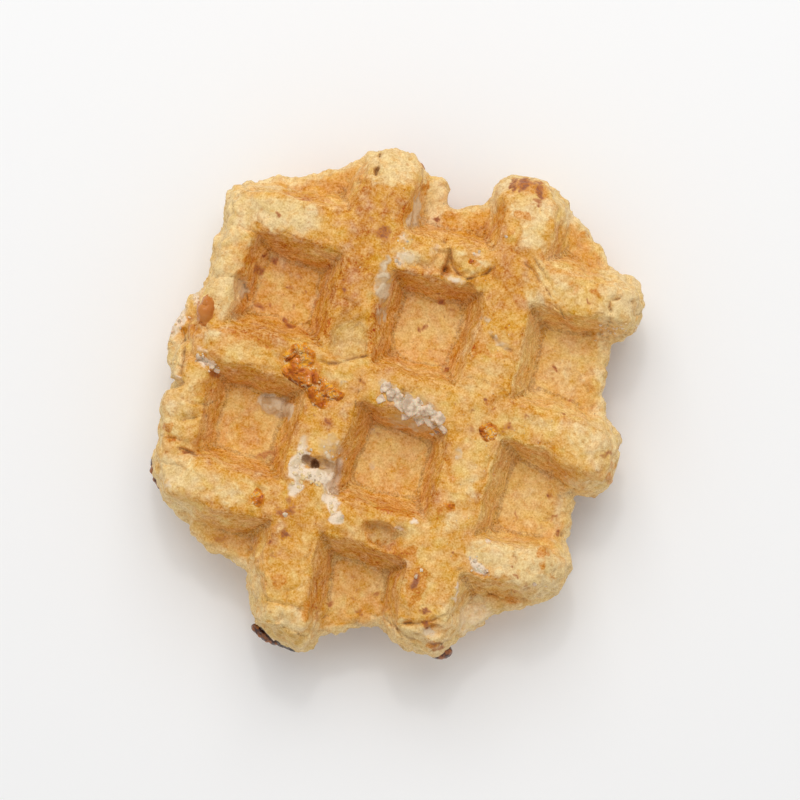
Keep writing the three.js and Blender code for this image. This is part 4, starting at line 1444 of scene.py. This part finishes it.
# %% Crumbs of dough, at the torn places and along the rim
# The rows are like those of the loose sugar.
CRUMB_ROWS = [
    (22, [(-15.0, -17.0), (-14.6, -12.0), (-13.0, -18.4), (-9.0, -17.0)], 0.6, 0.3, 0.7, 4, 2, 0.85),
    (22, [(-14.2, -20.4), (-10.6, -17.4), (-7.0, -19.4), (-4.6, -23.8)], 0.6, 0.3, 0.7, 4, 2, 0.85),
    (40, [(-43.4, 13.0), (-46.4, 8.0), (-46.8, 2.0), (-45.4, -3.0)], 0.8, 0.25, 0.6, 4, 2, 0.7),
    (24, [(36.0, 25.8), (41.5, 27.0), (43.6, 30.4)], 0.8, 0.2, 0.5, 4, 2, 0.7),
]
work = bmesh.new()
strewn = 0
for row in CRUMB_ROWS:
    strewn += scatter(work, *row)
outline_steps = [(place.x, place.y) for place in outline]
for place_x, place_y in random.sample(outline_steps, 90):
    where, normal, _face, _distance = ground_tree.find_nearest(
        Vector((place_x * MM, place_y * MM, (MIDDLE + random.uniform(-1, 2)) * MM))
    )
    size = random.uniform(0.2, 0.5)
    sizes = [size * random.uniform(0.7, 1.3) for _ in range(3)]
    grain(work, where - normal * (0.45 * size * MM), sizes, 4, 2)
    strewn += 1
crumb_mesh = bpy.data.meshes.new("crumbs")
work.to_mesh(crumb_mesh)
work.free()
write_inside(crumb_mesh, read_points(crumb_mesh))
crumbs = new_piece("crumbs", crumb_mesh)
print(strewn, "crumbs:", count_triangles(crumb_mesh), "triangles")

flaky = Finish("torn_crumb", Roughness=0.8, IOR=1.38)
cloud = flaky.grain(1.6, 3.0)
flakes = flaky.mix(cloud.ramp(0.4, 0.6), CREAM, CRUMB_WHITE)
flaky.feed("Base Color", flaky.shade(flakes, 0.8 + 0.35 * flaky.grain(0.4)))
flaky.relief(flaky.grain(0.5, 3.0), 0.3)
crumb_mesh.materials.append(flaky.data)
shade_smooth(crumb_mesh)
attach(crumbs, "root")

# %% Burnt sugar that ran out below and set: a drop, and two thin runs along lower edges
# x, y, z and half widths of the balls that each run is fused from.
RUNS = [
    (21.7, -45.0, 10.2, 1.5, 1.1, 1.3), (22.8, -44.2, 9.8, 1.8, 1.6, 1.6),
    (21.4, -44.0, 9.6, 1.7, 1.4, 1.5), (19.8, -44.2, 9.2, 1.3, 1.1, 1.2),
    (-14.8, -49.6, 8.6, 1.3, 0.9, 1.2), (-13.6, -50.4, 8.4, 1.3, 0.9, 1.2),
    (-12.2, -50.9, 8.3, 1.4, 1.0, 1.2), (-10.6, -51.1, 8.3, 1.5, 1.0, 1.2),
    (-9.0, -51.2, 8.4, 1.4, 0.9, 1.2), (-7.8, -50.9, 8.6, 1.1, 0.8, 1.0),
    (-43.9, -22.4, 8.6, 0.7, 1.2, 1.2), (-43.4, -24.0, 8.4, 0.8, 1.3, 1.2),
    (-42.4, -25.4, 8.3, 0.9, 1.3, 1.2), (-41.2, -26.6, 8.4, 1.0, 1.1, 1.2),
    (-39.9, -27.6, 8.6, 1.2, 0.8, 1.0),
]
RUN_VOXEL = 0.22 * MM
work = bmesh.new()
for place_x, place_y, place_z, across, along, high in RUNS:
    made = bmesh.ops.create_icosphere(work, subdivisions=3, radius=1)["verts"]
    bmesh.ops.scale(work, vec=(across * MM, along * MM, high * MM), verts=made)
    bmesh.ops.translate(work, vec=(place_x * MM, place_y * MM, place_z * MM), verts=made)
drop_mesh = bpy.data.meshes.new("burnt_drop")
work.to_mesh(drop_mesh)
work.free()
drop = new_piece("burnt_drop", drop_mesh)
add_modifier(drop, "REMESH", mode="VOXEL", voxel_size=RUN_VOXEL, adaptivity=0)
add_modifier(drop, "SMOOTH", factor=0.5, iterations=3)
work_in_modifiers(drop)
drop_mesh = drop.data
drop_points = read_points(drop_mesh)
drop_points += read_normals(drop_mesh) * (0.4 * billow(drop_points, 1.6, 33, 2))[:, None]
write_inside(drop_mesh, drop_points)
shade_smooth(drop_mesh)
print("the runs of burnt sugar have", count_triangles(drop_mesh), "triangles")
BURNT_DARK = (0.06, 0.014, 0.007)
BURNT_LIGHT = (0.36, 0.105, 0.010)
burnt = Finish("burnt_caramel", IOR=1.5, Coat_Weight=0.5, Coat_Roughness=0.08)
mixed = burnt.grain(1.4, 2.0).ramp(0.42, 0.62)
burnt.feed("Base Color", burnt.mix(mixed, BURNT_DARK, BURNT_LIGHT))
burnt.feed("Roughness", 0.2 + 0.2 * mixed)
drop_mesh.materials.append(burnt.data)
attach(drop, "root")

# %% [markdown]
# ## Floor, light and camera
#
# The waffle lies on a pale floor under a broad, soft light that comes mostly from beyond its upper edge,
# so the pocket walls that face the viewer's feet are a little darker than the others. A small bright
# light beside it gives the melted sugar its glints. The camera looks almost straight down through a long
# lens.

# %% Floor
FLOOR_SIDE = 3.0
ground = bmesh.new()
bmesh.ops.create_grid(ground, x_segments=1, y_segments=1, size=FLOOR_SIDE / 2)
ground_mesh = bpy.data.meshes.new("floor")
ground.to_mesh(ground_mesh)
ground.free()
floor = new_piece("floor", ground_mesh)
paper = Finish("pale_floor", Base_Color=(0.93, 0.93, 0.93, 1), Roughness=0.9)
ground_mesh.materials.append(paper.data)
floor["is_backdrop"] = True

# %% Camera
VIEW_WIDTH = 160 * MM
DISTANCE = 0.9
SENSOR = 36
TURN = math.radians(15.1)
target = Vector((1.5 * MM, 2.1 * MM, 20 * MM))
leaning = math.radians(2.7)
sideways = Vector((math.sin(math.radians(45)), -math.cos(math.radians(45)), 0))
back = Vector((0, 0, math.cos(leaning))) + sideways * math.sin(leaning)
picture_up = Vector((-math.sin(TURN), math.cos(TURN), 0))
right = picture_up.cross(back).normalized()
upright = back.cross(right)

lens = bpy.data.cameras.new("camera")
lens.sensor_width = SENSOR
lens.lens = SENSOR * DISTANCE / VIEW_WIDTH
camera = new_piece("camera", lens)
turned = Matrix((right, upright, back)).transposed().to_4x4()
camera.matrix_world = Matrix.Translation(target + back * DISTANCE) @ turned
bpy.context.scene.camera = camera
print("the lens is", round(lens.lens, 1), "mm long")

# %% Light
SKY_STRENGTH = 0.62
scene = bpy.context.scene
scene.view_settings.view_transform = "Standard"
scene.view_settings.look = "None"
world = bpy.data.worlds.new("studio")
scene.world = world
world.use_nodes = True
world.node_tree.nodes["Background"].inputs["Color"].default_value = (1, 1, 1, 1)
world.node_tree.nodes["Background"].inputs["Strength"].default_value = SKY_STRENGTH


def soft_light(name, towards, height, distance, side, watts):
    """A square light that looks at the waffle from the side that `towards` points to."""
    data = bpy.data.lights.new(name, "AREA")
    data.size = side
    data.energy = watts
    lamp = new_piece(name, data)
    flat = Vector((towards[0], towards[1], 0)).normalized()
    out = flat * math.cos(math.radians(height)) + Vector((0, 0, math.sin(math.radians(height))))
    lamp.matrix_world = Matrix.Translation(out * distance) @ out.to_track_quat("Z", "Y").to_matrix().to_4x4()
    return lamp


soft_light("key", picture_up, 55, 1.0, 0.85, 4.6)
soft_light("glint", picture_up, 60, 1.0, 0.10, 0.7)

# %% [markdown]
# ## Finishing
#
# The last cell measures the finished pieces' box and sets it beside the solid's.

# %% Sizes
finished_low, finished_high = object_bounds()
sizes = {
    "cad": [list(solid_low), list(solid_high)],
    "visual": [list(finished_low), list(finished_high)],
}
print("finished:", [round(side, 4) for side in finished_high - finished_low], "m")
